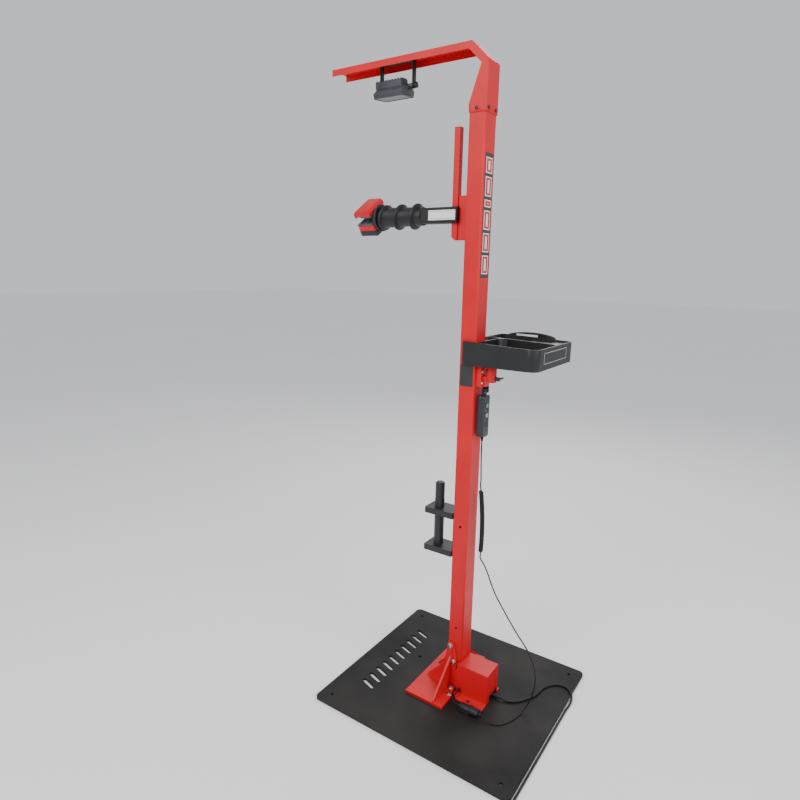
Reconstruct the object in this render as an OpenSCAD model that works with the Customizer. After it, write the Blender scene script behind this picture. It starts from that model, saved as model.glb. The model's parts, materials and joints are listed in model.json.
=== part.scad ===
// Free-standing electric bicycle lift.
// The origin is on the floor under the axis of the column. Z is up and the clamp arm points along -Y.

/* [Base plate] */
// Width of the base plate, along X
plate_w = 700; // [640:1:780]
// Length of the base plate, along Y
plate_l = 760; // [700:1:840]
// Thickness of the base plate
plate_t = 10; // [8:0.5:16]
// How far the plate's centre lies toward +X from the column's axis
plate_shift_x = 27; // [0:1:60]
// How far the plate's centre lies toward -Y from the column's axis
plate_shift_y = 3; // [0:1:40]
// Radius of the plate's corners
plate_r = 18; // [6:1:40]
// Diameter of the floor anchor holes
anchor_d = 12; // [8:0.5:16]
// Distance from the plate's edges to the anchor holes
anchor_inset = 45; // [30:1:70]
// Number of plain slots in the front row
slot_count = 10; // [4:1:11]
// Width of a plain slot
slot_w = 16; // [8:1:24]
// Length of a plain slot over its round ends
slot_l = 64; // [40:1:90]
// Distance between two slots
slot_pitch = 42; // [34:1:48]
// Lean of the slots
slot_lean = 18; // [0:1:30]

/* [Foot] */
// Width of the foot plate
foot_w = 340; // [300:1:400]
// Reach of the foot plate in front of the column's axis
foot_front = 126; // [100:1:160]
// Thickness of the foot plate
foot_t = 10; // [6:0.5:16]
// Thickness of the cheeks beside the column
cheek_t = 12; // [8:0.5:14]
// Height of the cheeks above the foot plate
cheek_h = 172; // [150:1:220]
// Thickness of the side fins
fin_t = 8; // [5:0.5:12]
// Height of the side fins at the cheek
fin_h = 115; // [80:1:140]
// Thread diameter of the foot and cheek bolts
bolt_d = 10; // [6:0.5:12]

/* [Column] */
// Width of the column, along X
col_w = 72; // [70:1:84]
// Depth of the column, along Y
col_d = 58; // [54:1:70]
// Wall of the column
col_wall = 4; // [3:0.25:4.5]
// Width of the slot in the column's front
col_slot = 26; // [18:1:30]
// Height of the column above the base plate
col_h = 2000; // [1980:1:2100]
// Outer radius of the column's corners
col_r = 5; // [2:0.5:8]
// Diameter of the two holes in the column's side
side_hole_d = 9; // [5:0.5:14]

/* [Hood and top arm] */
// Thickness of the folded sheet
hood_t = 1.7; // [1.2:0.1:3]
// How far the hood covers the column
hood_skirt = 23; // [16:1:40]
// Height of the hood's top above the column's top
hood_rise = 176; // [150:1:220]
// Reach of the top arm in front of the column's axis
top_arm_l = 568; // [480:1:640]
// Height of the top arm's side flanges
top_arm_h = 20.5; // [16:0.5:30]
// Depth of the hood's neck
neck_d = 24; // [18:0.5:32]

/* [Carriage] */
// Side of the square carriage bar
bar_s = 21; // [18:0.5:25]
// Distance from the column's axis to the bar's centre line
bar_y = 81; // [70:1:95]
// Distance from the column's top down to the slider as photographed
bar_hang = 255; // [232:1:262]
// Length of the carriage bar
bar_h = 343; // [300:1:355]
// Height of the slider block and of the link plate
slider_h = 138; // [110:1:150]
// Thickness of the link plate in the column's slot
link_t = 10; // [6:0.5:14]
// Radius of the guide rollers
roller_r = 9; // [7:0.25:10]
// Width of a guide roller
roller_w = 7; // [4:0.25:8]
// Travel of the carriage up from the photographed height
lift_up = 150; // [100:1:155]
// Travel of the carriage down from the photographed height
lift_down = 820; // [600:1:825]

/* [Belt drive] */
// Radius under the belt
pulley_r = 15; // [12:0.5:16]
// Thickness of the belt
belt_t = 2.2; // [1.5:0.1:2.6]
// Width of the belt
belt_w = 11; // [8:0.5:12]
// Radius of the drive shaft
shaft_r = 6; // [4:0.5:8]
// Height of the drive shaft above the floor
drive_z = 70; // [60:1:80]

/* [Control box] */
// Reach of the box toward +X
box_right = 61; // [58:1:80]
// Reach of the box toward -X
box_left = 27; // [27:1:34]
// Depth of the box's back behind the column's axis
box_back = 147; // [143:1:190]
// Height of the box above the base plate
box_h = 116; // [110:1:140]
// Sheet thickness of the box
box_t = 2; // [1:0.25:3]
// Width of the box's side flange
box_flange = 36; // [30:1:50]

/* [Clamp arm] */
// Outer side of the square arm tube
arm_s = 50; // [44:1:60]
// Height of the arm's axis above the bar's lower end
arm_rise = 79; // [63:1:93]
// Distance from the column's axis to the arm tube's far end
arm_reach = 204; // [180:1:220]
// Radius of the head's spindle
spindle_r = 14; // [10:0.5:17]
// Length of the ribbed grip
grip_l = 170; // [150:1:200]
// Radius of the grip's ribs
rib_r = 43; // [38:0.5:48]
// Radius of the grip between its ribs at the arm
grip_r = 30; // [26:0.5:34]
// Turn of the head about the arm as photographed
head_turn = 33; // [0:1:60]

/* [Jaws] */
// Radius of the disc that carries the jaws
disc_r = 45; // [42:0.5:52]
// Thickness of the disc
disc_t = 12; // [12:0.5:18]
// Length of the jaws along the clamped tube
jaw_l = 96; // [70:1:110]
// Depth of the moving jaw
jaw_d = 68; // [62:1:72]
// Height of the moving jaw's back from the middle of the gap
jaw_h = 36; // [34:0.5:40]
// Distance from the arm's axis to the middle of the jaws' gap
gap_mid = 14; // [9:0.5:16]
// Half of the gap between the pads as photographed
gap_half = 12; // [11.5:0.5:14]
// Thickness of the rubber pads
pad_t = 5; // [4.5:0.5:7]
// Radius of the groove in the pads
groove_r = 16; // [14:0.5:16]
// Travel of the moving jaw outward
jaw_open = 16; // [10:1:20]
// Travel of the moving jaw inward
jaw_close = 16; // [5:1:18]

/* [Work light] */
// Length of the lamp housing along Y
lamp_l = 121; // [100:1:140]
// Width of the lamp housing at its rim
lamp_w = 78; // [64:1:90]
// Height of the lamp housing
lamp_h = 53; // [50:1:60]
// Sheet thickness of the lamp bracket
lamp_strap_t = 3; // [2:0.25:4]
// Distance from the column's axis to the lamp's middle
lamp_y = 327; // [280:1:400]
// Height of the lamp's pivots above the column's top
lamp_pivot_rise = 98; // [90:1:104]
// Tilt of the lamp as photographed
lamp_tilt = 6; // [0:1:20]

/* [Tool tray] */
// Length of the tray, along X
tray_l = 326; // [300:1:360]
// Width of the tray, along Y
tray_w = 265; // [240:1:300]
// Height of the tray at the column
tray_h = 78; // [66:1:90]
// How much lower the rim is at its outer side
tray_fall = 9; // [0:1:16]
// Wall of the tray
tray_wall = 4; // [3:0.5:6]
// Height of the tray's underside above the floor
tray_z = 1220; // [1210:1:1240]
// Radius of the tray's outer corner
tray_r = 32; // [20:1:40]
// Radius of the tray post
post_r = 12.5; // [9:0.5:14]
// Distance from the column's axis to the post
post_y = 73; // [70:1:80]
// Travel of the tray up its sleeve
tray_up = 30; // [10:1:34]

/* [Hand control] */
// Width of the hand control
handset_w = 40; // [34:1:50]
// Depth of the hand control
handset_d = 24; // [20:1:30]
// Height of the hand control's case
handset_h = 142; // [120:1:150]
// Diameter of a button
button_d = 16; // [12:0.5:20]
// Diameter of the pendant cord
pendant_d = 4.8; // [3.5:0.1:4.9]
// Diameter of the mains cord
mains_d = 8; // [6:0.5:8]

/* [Accessory holder] */
// Width of the holder's shelves
shelf_w = 76; // [60:1:90]
// Reach of the shelves in front of the column's axis
shelf_reach = 145; // [130:1:170]
// Thickness of the shelves
shelf_t = 22; // [14:1:30]
// Height of the upper shelf's top above the floor
shelf_z = 689; // [640:1:700]
// Distance between the tops of the two shelves
shelf_pitch = 144; // [100:1:180]
// Diameter of the accessory post
pin_d = 33.7; // [25:0.1:40]
// Height of the post above the upper shelf
pin_h = 92; // [60:1:96]

/* [Hidden] */
$fn = 48;

red = [0.82, 0.05, 0.07];
dark = [0.1, 0.1, 0.11];
steel = [0.7, 0.71, 0.73];
grey = [0.45, 0.47, 0.5];

// Overrun of the cuts, running gap between fitted parts and gap between parts that pass each other
cut = 1;
fit = 0.05;
gap = 0.3;

// Heights that follow from the plate and the column
floor_top = plate_t;
foot_top = floor_top + foot_t;
col_top = floor_top + col_h;
in_w = col_w / 2 - col_wall;
in_d = col_d / 2 - col_wall;
front_y = -col_d / 2;
back_y = col_d / 2;

// Plate details
slot_row_y = -266;
slot_row_x = 21;
service_hole_d = 14;
service_hole_x = -34;
service_hole_y = -193;

// Foot details
foot_back = 28;
foot_waist_y = 16;
foot_waist_out = 11;
foot_step_out = 43;
wing_in = 17;
foot_waist_x = box_right + foot_waist_out;
foot_step_x = box_right + foot_step_out;
wing_front = foot_front - wing_in;
wing_knee_y = 37;
wing_knee_h = 80;
cheek_front_y = 23;
cheek_back_low_y = 23;
cheek_back_y = 14;
cheek_step_h = 72;
cheek_shoulder_h = 100;
cheek_top_y = 4;
fin_root_x = col_w / 2 + fit + cheek_t;
fin_y = -12;
fin_end_x = 165;
fin_end_h = 6;
tie_t = 10;
tie_h = 60;
head_share = 0.78;
head_h_share = 0.62;
foot_bolt_out = [46, 14];
foot_bolt_x = [for (d = foot_bolt_out) fin_root_x + d];
foot_bolt_y = [14, 3];
cheek_bolt_drop = [75, 14];
cheek_bolt_h = [for (d = cheek_bolt_drop) cheek_h - d];
cheek_bolt_y = [1, -14];

// Column details
side_hole_h = [240, 636];
col_inner_share = 0.4;
col_inner_r = col_inner_share * col_r;

// Hood details
neck_foot_y = -31;
neck_foot_rise = 2;
neck_top_rise = 111;
throat_y = -37.5;
bevel_y = -27;
bevel_drop = 56;
bevel_angle = 45;
hood_half = col_w / 2 + hood_t;
hood_back = back_y + hood_t;
hood_top = col_top + hood_rise;
hood_low = col_top - hood_skirt;

// Panel screws
screw_d = 5;
screw_head_d = 10;
screw_head_h = 3;
hood_screw_y = -3;
hood_screw_rise = 12;
hood_screw_x = 24;
box_screw_out = 22;
box_screw_x = box_right + box_screw_out;
box_screw_y = 86;
tab_w = 22;
tab_l = 40;

// Carriage and guide
roller_room = 9;
slider_half = in_w - roller_room;
slider_in = 4;
slider_front = in_d - gap - slider_in;
slider_back = 0;
belt_room = 1.8;
cheek_in = pulley_r + belt_t + belt_room;
ear_back = 21;
ear_h = 40;
axle_r = 4;
roller_inset = 20;
roller_in = slider_half + 2 * gap;
roller_y = in_d - gap - roller_r;
bar_chamfer = 12;
bar_z = col_top - bar_hang - slider_h;
arm_z = bar_z + arm_rise;
bar_front = -bar_y - bar_s / 2;
bar_rear = -bar_y + bar_s / 2;
bar_top = bar_z + bar_h;
slider_top = bar_z + slider_h;
clamp_in = 10;
clamp_out = 22;
clamp_h = 30;
clamp_rise = 73;
clamp_back = 19;

// Belt drive
belt_y = 10;
idler_drop = 35;
idler_z = col_top - idler_drop;
flange_r = 19;
flange_t = 1.2;
belt_side_room = 1.5;
pulley_half = belt_w / 2 + belt_side_room;
bracket_t = 3;
bracket_low = 25;
bracket_high = 20;

// Stops
stop_in = 14;
stop_back = -8;
stop_h = 20;
buffer_h = 14;
switch_w = 7;
switch_l = 10;
switch_h = 22;
low_stop = bar_z - lift_down;
high_stop = slider_top + lift_up;

// Gearmotor and electronics
gear_half = 23;
gear_back = 74;
motor_r = 21;
motor_back = 138;
supply_left = 27;
supply_gap = 4;
supply_right = box_right - supply_gap;
supply_front = 34;
supply_back = 128;
supply_h = 66;
board_t = 1.6;
board_post_d = 6;
board_post_h = 8;
board_inset = 6;
relay_w = 12;
relay_l = 22;
relay_h = 14;
relay_pitch = 30;

// Control box details
box_front = 24;
box_return = 11;
chamfer_in = 9;
chamfer_y = 18;
chamfer_back = 44;
opening_left = -24;
opening_right = 38;
opening_h = 23;
gland_x = 5;
gland_half = 13;
gland_l = 16;
gland_h = 20;
gland_nose_r = 8;
gland_nose_l = 8;
relief_nose_l = 26;
relief_tip_r = 5;
gland_rise = 10;
gland_y = box_back - gland_l;
gland_z = floor_top + gland_rise;
gland_tip = box_back + relief_nose_l;
lead_y = 38;
lead_rise = 18;
lead_z = floor_top + lead_rise;
lead_gland_r = 6;
lead_gland_l = 9;

// Clamp arm details
arm_back = 66;
arm_r = 6;
spindle_in = 92;
label_y = 121;
label_l = 100;
label_h = 31;
label_t = 0.8;
arm_bolt_d = 8;
arm_bolt_dz = 13;
grip_end_r = 34;
rib_tip = 6;
rib_foot = 15;
rib_lean = 12;
rib_shares = [0.17, 0.545, 0.915];
carrier_share = 0.92;

// Jaw details
face_y = -(arm_reach + gap + grip_l + gap);
jaw_face = face_y - disc_t;
carrier_l = 72;
carrier_t = 22;
carrier_half = carrier_share * disc_r;
tongue_w = 16;
tongue_t = 6;
tongue_l = 44;
jaw_chamfer = 8;
tee_w = 28;
tee_t = 5;
tube_y = 50;
groove_y = jaw_face - tube_y;
pad_back = 4;
jaw_low = gap_mid + gap_half + pad_t;
jaw_top = gap_mid + jaw_h;
tongue_low = jaw_top - tongue_l;
slot_low = tongue_low - jaw_close - gap;

// Lamp details
lamp_x = 12;
pivot_x = -12;
pivot_z = col_top + lamp_pivot_rise;
strap_w = 20;
lamp_case_w = 40;
lamp_case_x = 8;
lamp_case_in = 20;
lamp_case_l = lamp_l - lamp_case_in;
lamp_case_h = 22;
lamp_flare_h = 15;
lamp_shoulder = 7;
lamp_lip = 4;
lamp_rise = 19;
lamp_wall = 5;
lamp_gap = 2;
lens_t = 3;
lens_up = 1;
light_board_t = 1.6;
light_board_up = 10;
light_d = 4;
light_h = 1.5;
light_pitch = 11;
light_rows = 5;
light_cols = 8;
pin_r = 3;
lug_r = 8;
knob_r = 9;
knob_l = 11;

// Tray details
tray_front = -22;
tray_near_x = 46;
notch_room = 3;
notch_half = col_w / 2 + notch_room;
notch_back = back_y + notch_room;
inner_r = 25;
far_r = 18;
tray_floor = 3;
divider_x = -140;
divider_t = 6;
ledge_drop = 6;
shelf_hole_d = [30, 30, 26];
shelf_hole_in = [103, 63, 25];
shelf_hole_y = [for (d = shelf_hole_in) tray_front + tray_w - d];
shelf_hole_x = -185;
small_hole_d = 16;
small_hole_x = -232;
pocket_end = 112;
pocket_depth = 50;
hole_depth = 60;
hump_t = 12;
hump_h = 21;
hump_end = 186;
hump_steps = 18;
hump_round_share = 0.4;
handle_start = 32;
handle_end = 118;
handle_h = 8;
handle_lift = 5;
boss_r = 18;
boss_h = 30;
post_up = 26;
post_down = 54;

// Tray bracket details
block_w = 48;
block_d = 19;
block_low = 70;
block_high = 4;
ledge_w = 24;
ledge_top = 36;
sleeve_wall = 4.5;
sleeve_h = 44;
collar_h = 10;
bracket_bolt_d = 6;
bracket_bolt_x = 18;
bracket_bolt_down = [20, 58];
lever_r = 7;
lever_l = 12;
lever_arm = 34;
lever_t = 5;
stud_r = 4;
lever_down = 42;

// Handset details
handset_off = 21;
handset_y = back_y + handset_off;
handset_drop = 100;
handset_top = tray_z - handset_drop;
handset_r = 8;
split_share = 0.5;
button_proud = 2.4;
button_seat = 3;
button_up_drop = 34;
button_pitch = 34;
eye_w = 8;
eye_d = 16;
eye_h = 20;
eye_hole_r = 4.5;
peg_r = 3.5;
hook_t = 6;
hook_w = 20;
hook_side = 14;
relief_r = 5;
relief_neck_r = 3;
relief_h = 18;

// Pendant connector details
plug_out = 33;
plug_x = box_right + box_flange + plug_out;
plug_rise = 16;
plug_r = 14;
plug_front = 152;
plug_l = 34;
plug_neck_r = 6;
plug_neck_l = 8;
ring_l = 8;
ring_r = 16;
socket_l = 34;
socket_foot_w = 30;
socket_tail_l = 10;

// Mains plug details
mains_relief_r = 5;
mains_body_w = 26;
mains_body_h = 25;
mains_body_l = 40;
prong_r = 2.4;
prong_l = 19;
prong_pitch = 19;

// Accessory holder details
back_plate_t = 3;
back_plate_w = 60;
pin_y = 106;
pin_chamfer = 4;
pin_seat = 0.6;
pin_seat_h = 29;
stop_pin_r = 3;
stop_pin_l = 3;
stop_pin_h = 20;

module span(x, y, z) translate([x[0], y[0], z[0]]) cube([x[1] - x[0], y[1] - y[0], z[1] - z[0]]);

module rounded(w, l, r) {
    square([w - 2 * r, l], center = true);
    square([w, l - 2 * r], center = true);
    for (x = [-1, 1], y = [-1, 1]) translate([x * (w / 2 - r), y * (l / 2 - r)]) circle(r);
}

module rod_x(r, l, n = $fn) rotate([0, 90, 0]) cylinder(r = r, h = l, $fn = n);
module rod_y(r, l, n = $fn) rotate([-90, 0, 0]) cylinder(r = r, h = l, $fn = n);
module side_profile(points, x, t) translate([x, 0, 0]) rotate([90, 0, 90]) linear_extrude(t) polygon(points);

// Places of the fasteners
module at_foot_bolts() for (s = [-1, 1], i = [0, 1]) translate([s * foot_bolt_x[i], foot_bolt_y[i], foot_top]) children();
module at_cheek_bolts() for (s = [0, 1], i = [0, 1])
    mirror([s, 0, 0]) translate([fin_root_x, cheek_bolt_y[i], foot_top + cheek_bolt_h[i]]) rotate([0, 90, 0]) children();

module at_hood_screws() {
    for (s = [-1, 1]) mirror([s < 0 ? 1 : 0, 0, 0])
        translate([hood_half, hood_screw_y, hood_low + hood_screw_rise]) rotate([0, 90, 0]) children();
    for (s = [-1, 1]) translate([s * hood_screw_x, hood_back, hood_low + hood_screw_rise]) rotate([-90, 0, 0]) children();
}

module at_box_screws() {
    translate([box_screw_x, box_screw_y, floor_top + box_t]) children();
    translate([-box_left - tab_w / 2, box_back - tab_l / 2, floor_top + box_t]) children();
}

module at_lamp_screw() translate([pivot_x, -lamp_y, hood_top]) children();

// A bolt whose head rests on z = 0 with its shank below
module bolt(d, shank) {
    cylinder(d = 2 * head_share * d, h = head_h_share * d, $fn = 6);
    translate([0, 0, -shank]) cylinder(d = d - 2 * fit, h = shank + head_h_share * d / 2);
}

module base_plate() color(dark) difference() {
    translate([plate_shift_x, -plate_shift_y, 0]) linear_extrude(plate_t) difference() {
        rounded(plate_w, plate_l, plate_r);
        for (x = [-1, 1], y = [-1, 1])
            translate([x * (plate_w / 2 - anchor_inset), y * (plate_l / 2 - anchor_inset)]) circle(d = anchor_d);
    }
    for (i = [0 : slot_count - 1])
        translate([slot_row_x + (i - (slot_count - 1) / 2) * slot_pitch, slot_row_y, -cut]) rotate(-slot_lean)
            linear_extrude(plate_t + 2 * cut) slot_outline();
    translate([service_hole_x, service_hole_y, -cut]) cylinder(d = service_hole_d, h = plate_t + 2 * cut);
    at_foot_bolts() translate([0, 0, -foot_t - plate_t - cut]) cylinder(d = bolt_d, h = plate_t + 2 * cut);
    at_box_screws() translate([0, 0, -box_t - plate_t - cut]) cylinder(d = screw_d, h = plate_t + 2 * cut);
}

module slot_outline() {
    square([slot_w, slot_l - slot_w], center = true);
    for (y = [-1, 1]) translate([0, y * (slot_l - slot_w) / 2]) circle(d = slot_w);
}

module foot_bracket() color(red) {
    difference() {
        translate([0, 0, floor_top]) linear_extrude(foot_t) difference() {
            polygon([[-foot_w / 2, -foot_front], [foot_w / 2, -foot_front], [foot_w / 2, foot_back],
                [foot_step_x, foot_back], [foot_waist_x, foot_waist_y], [-foot_waist_x, foot_waist_y],
                [-foot_step_x, foot_back], [-foot_w / 2, foot_back]]);
            translate([-col_w / 2 - fit, front_y - fit]) square([col_w + 2 * fit, col_d]);
        }
        at_foot_bolts() translate([0, 0, -foot_t - cut]) cylinder(d = bolt_d, h = foot_t + 2 * cut);
    }
    difference() {
        for (s = [-1, 1]) side_profile(cheek_outline(), s < 0 ? -col_w / 2 - fit - cheek_t : col_w / 2 + fit, cheek_t);
        at_cheek_bolts() translate([0, 0, -cheek_t - cut]) cylinder(d = bolt_d, h = cheek_t + 2 * cut);
    }
    for (s = [0, 1]) mirror([s, 0, 0]) translate([0, fin_y + fin_t / 2, 0]) rotate([90, 0, 0]) linear_extrude(fin_t)
        polygon([[fin_root_x, foot_top], [fin_end_x, foot_top], [fin_end_x, foot_top + fin_end_h],
            [fin_root_x, foot_top + fin_h]]);
    span([-col_w / 2 - fit, col_w / 2 + fit], [front_y - fit - tie_t, front_y - fit], [foot_top, foot_top + tie_h]);
}

function cheek_outline() = [[-wing_front, foot_top], [-wing_knee_y, foot_top + wing_knee_h],
    [-cheek_front_y, foot_top + cheek_h - cheek_top_y], [-cheek_front_y, foot_top + cheek_h],
    [-cheek_top_y, foot_top + cheek_h], [cheek_back_y, foot_top + cheek_shoulder_h],
    [cheek_back_y, foot_top + cheek_step_h], [cheek_back_low_y, foot_top + cheek_step_h - cheek_top_y],
    [cheek_back_low_y, foot_top + foot_t], [foot_waist_y, foot_top]];

module foot_bolts() color(steel) at_foot_bolts() bolt(bolt_d, foot_t + plate_t - gap);
module cheek_bolts() color(steel) at_cheek_bolts() bolt(bolt_d, cheek_t + fit + col_wall);

module column() color(red) difference() {
    translate([0, 0, floor_top]) linear_extrude(col_h) difference() {
        rounded(col_w, col_d, col_r);
        rounded(2 * in_w, 2 * in_d, col_inner_r);
        translate([-col_slot / 2, front_y - cut]) square([col_slot, col_wall + 2 * cut]);
    }
    for (h = side_hole_h) translate([in_w - cut, 0, floor_top + h]) rod_x(side_hole_d / 2, col_wall + 2 * cut);
    at_cheek_bolts() translate([0, 0, -cheek_t - fit - col_wall - cut]) cylinder(d = bolt_d, h = col_wall + 2 * cut);
    at_hood_screws() translate([0, 0, -hood_t - col_wall - cut]) cylinder(d = screw_d, h = col_wall + 2 * cut);
    translate([0, in_d - cut, drive_z]) rod_y(shaft_r + 2 * gap, col_wall + 2 * cut);
    at_bracket_bolts() translate([0, 0, -block_d - col_wall - cut]) cylinder(d = bracket_bolt_d, h = col_wall + 2 * cut);
}

module hood_arm() color(red) difference() {
    union() {
        for (x = [-hood_half, hood_half - hood_t]) side_profile(hood_outline(), x, hood_t);
        side_profile(hood_strip(), -hood_half, 2 * hood_half);
    }
    at_hood_screws() translate([0, 0, -hood_t - cut]) cylinder(d = screw_d, h = hood_t + 2 * cut);
    at_lamp_screw() translate([0, 0, -hood_t - cut]) cylinder(d = screw_d, h = hood_t + 2 * cut);
}

function hood_outline() = [[front_y, hood_low], [neck_foot_y, col_top + neck_foot_rise],
    [hood_back - neck_d, col_top + neck_top_rise], [throat_y, hood_top - top_arm_h],
    [-top_arm_l, hood_top - top_arm_h], [-top_arm_l, hood_top], [bevel_y, hood_top],
    [hood_back, hood_top - bevel_drop], [hood_back, hood_low]];

function hood_strip() = let(m = hood_t * tan(bevel_angle / 2)) [[-top_arm_l, hood_top], [bevel_y, hood_top],
    [hood_back, hood_top - bevel_drop], [hood_back, hood_low], [hood_back - hood_t, hood_low],
    [hood_back - hood_t, hood_top - bevel_drop - m], [bevel_y - m, hood_top - hood_t],
    [-top_arm_l, hood_top - hood_t]];

module panel_screw(shank) {
    cylinder(d = screw_head_d, h = screw_head_h);
    translate([0, 0, -shank]) cylinder(d = screw_d - 2 * fit, h = shank + screw_head_h / 2);
}

module panel_screws() color(steel) {
    at_hood_screws() panel_screw(hood_t + col_wall);
    at_box_screws() panel_screw(box_t + plate_t - gap);
    at_lamp_screw() panel_screw(hood_t + lamp_strap_t);
}

module top_bracket() color(steel) {
    for (y = [belt_y - pulley_half - gap - bracket_t, belt_y + pulley_half + gap])
        span([-in_w, in_w], [y, y + bracket_t], [idler_z - bracket_low, idler_z + bracket_high]);
    span([-in_w, in_w], [belt_y - pulley_half - gap - bracket_t, belt_y + pulley_half + gap + bracket_t],
        [idler_z + bracket_high, idler_z + bracket_high + bracket_t]);
    translate([0, belt_y - pulley_half - 2 * gap, idler_z]) rod_y(axle_r, 2 * pulley_half + 4 * gap);
}

module pulley_body() {
    translate([0, belt_y - pulley_half, 0]) rod_y(pulley_r, 2 * pulley_half);
    for (y = [belt_y - pulley_half, belt_y + pulley_half - flange_t]) translate([0, y, 0]) rod_y(flange_r, flange_t);
}

module top_pulley() color(steel) translate([0, 0, idler_z]) difference() {
    pulley_body();
    translate([0, belt_y - pulley_half - cut, 0]) rod_y(axle_r + fit, 2 * (pulley_half + cut));
}

module drive_pulley() color(steel) translate([0, 0, drive_z]) {
    pulley_body();
    translate([0, belt_y, 0]) rod_y(shaft_r, back_y - belt_y + gland_nose_l);
}

module belt_loop(r, y, w) {
    for (z = [drive_z, idler_z]) translate([0, y, z]) rod_y(r, w);
    span([-r, r], [y, y + w], [drive_z, idler_z]);
}

module lifting_belt() color(dark) difference() {
    belt_loop(pulley_r + gap + belt_t, belt_y - belt_w / 2, belt_w);
    belt_loop(pulley_r + gap, belt_y - belt_w / 2 - cut, belt_w + 2 * cut);
}

module gearmotor() color(grey) difference() {
    union() {
        span([-gear_half, gear_half], [back_y, gear_back], [drive_z - gear_half, drive_z + gear_half]);
        translate([0, gear_back, drive_z]) rod_y(motor_r, motor_back - gear_back);
        span([-gear_half, gear_half], [back_y, gear_back], [floor_top, drive_z - gear_half]);
    }
    translate([0, back_y - cut, drive_z]) rod_y(shaft_r + fit, gland_nose_l + cut + gap);
}

module power_supply() color(grey)
    span([supply_left, supply_right], [supply_front, supply_back], [floor_top, floor_top + supply_h]);

module control_board() color([0.1, 0.35, 0.2]) {
    low = floor_top + supply_h;
    for (x = [supply_left + board_inset, supply_right - board_inset])
        for (y = [supply_front + board_inset, supply_back - board_inset])
            translate([x, y, low]) cylinder(d = board_post_d, h = board_post_h);
    span([supply_left, supply_right], [supply_front, supply_back], [low + board_post_h, low + board_post_h + board_t]);
    for (i = [0 : 1]) translate([(supply_left + supply_right - relay_w) / 2, supply_front + 2 * board_inset + i * relay_pitch,
        low + board_post_h + board_t]) cube([relay_w, relay_l, relay_h]);
}

module control_box() color(red) {
    top = floor_top + box_h;
    span([-box_left, box_right], [back_y + gap, box_back], [top - box_t, top]);
    span([col_w / 2 + fit + cheek_t + gap, box_right], [box_front, back_y + gap], [top - box_t, top]);
    span([box_right - box_t, box_right], [box_front, box_back], [floor_top, top - box_t]);
    span([box_right - box_return, box_right - box_t], [box_front, box_front + box_t], [floor_top, top - box_t]);
    span([-box_left, box_t - box_left], [back_y + gap, box_back], [floor_top, top - box_t]);
    difference() {
        span([box_t - box_left, box_right - box_t], [box_back - box_t, box_back], [floor_top, top - box_t]);
        span([opening_left, opening_right], [box_back - box_t - cut, box_back + cut], [floor_top - cut, floor_top + opening_h]);
    }
    difference() {
        translate([0, 0, floor_top]) linear_extrude(box_t) polygon([[box_right, chamfer_y],
            [box_right + chamfer_in, chamfer_y], [box_right + box_flange, chamfer_back],
            [box_right + box_flange, box_back], [box_right, box_back]]);
        at_box_screws() translate([0, 0, -box_t - cut]) cylinder(d = screw_d, h = box_t + 2 * cut);
    }
    difference() {
        span([-box_left - tab_w, -box_left], [box_back - tab_l, box_back], [floor_top, floor_top + box_t]);
        at_box_screws() translate([0, 0, -box_t - cut]) cylinder(d = screw_d, h = box_t + 2 * cut);
    }
}

module cord_glands() color(dark) {
    mains_gland();
    translate([box_right, lead_y, lead_z]) rod_x(lead_gland_r, lead_gland_l);
}

module mains_gland() difference() {
    union() {
        span([gland_x - gland_half, gland_x + gland_half], [gland_y, gland_y + gland_l - box_t - gap],
            [floor_top, floor_top + gland_h]);
        translate([gland_x, gland_y, gland_z]) rod_y(gland_nose_r, gland_l + box_t);
        translate([gland_x, box_back + box_t, gland_z]) rotate([-90, 0, 0])
            cylinder(r1 = gland_nose_r, r2 = relief_tip_r, h = relief_nose_l - box_t);
    }
    translate([gland_x, gland_y - cut, gland_z]) rod_y(mains_d / 2, gland_l + cut);
}

module stop_blocks() color(steel) for (s = [0, 1]) mirror([s, 0, 0]) {
    span([stop_in, in_w], [-in_d + col_inner_r, stop_back], [low_stop - gap - buffer_h - stop_h, low_stop - gap - buffer_h]);
    span([stop_in, in_w], [-in_d + col_inner_r, stop_back], [high_stop + gap + buffer_h, high_stop + gap + buffer_h + stop_h]);
}

module stop_buffers() color(dark) for (s = [0, 1]) mirror([s, 0, 0])
    for (z = [low_stop - gap - buffer_h, high_stop + gap])
        span([stop_in, slider_half], [-in_d + col_inner_r + gap, stop_back - gap], [z, z + buffer_h]);

module limit_switches() color(dark) for (z = [low_stop + gap, high_stop - switch_h - gap])
    span([in_w - switch_w, in_w], [-switch_l / 2, switch_l / 2], [z, z + switch_h]);

module slider_block() color(grey) {
    span([-slider_half, slider_half], [-slider_front, slider_back], [bar_z, slider_top]);
    for (s = [0, 1]) mirror([s, 0, 0]) {
        span([cheek_in, slider_half], [slider_back, ear_back], [bar_z, bar_z + ear_h]);
        translate([slider_half, -roller_y, slider_top - roller_inset]) rod_x(axle_r, roller_w + 3 * gap);
        translate([slider_half, roller_y, bar_z + roller_inset]) rod_x(axle_r, roller_w + 3 * gap);
    }
}

module roller_pair(y, z) color(dark) translate([0, y, z]) for (s = [0, 1]) mirror([s, 0, 0]) difference() {
    translate([roller_in, 0, 0]) rod_x(roller_r, roller_w);
    translate([roller_in - cut, 0, 0]) rod_x(axle_r + fit, roller_w + 2 * cut);
}

module roller_pair_upper() roller_pair(-roller_y, slider_top - roller_inset);
module roller_pair_lower() roller_pair(roller_y, bar_z + roller_inset);

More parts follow.
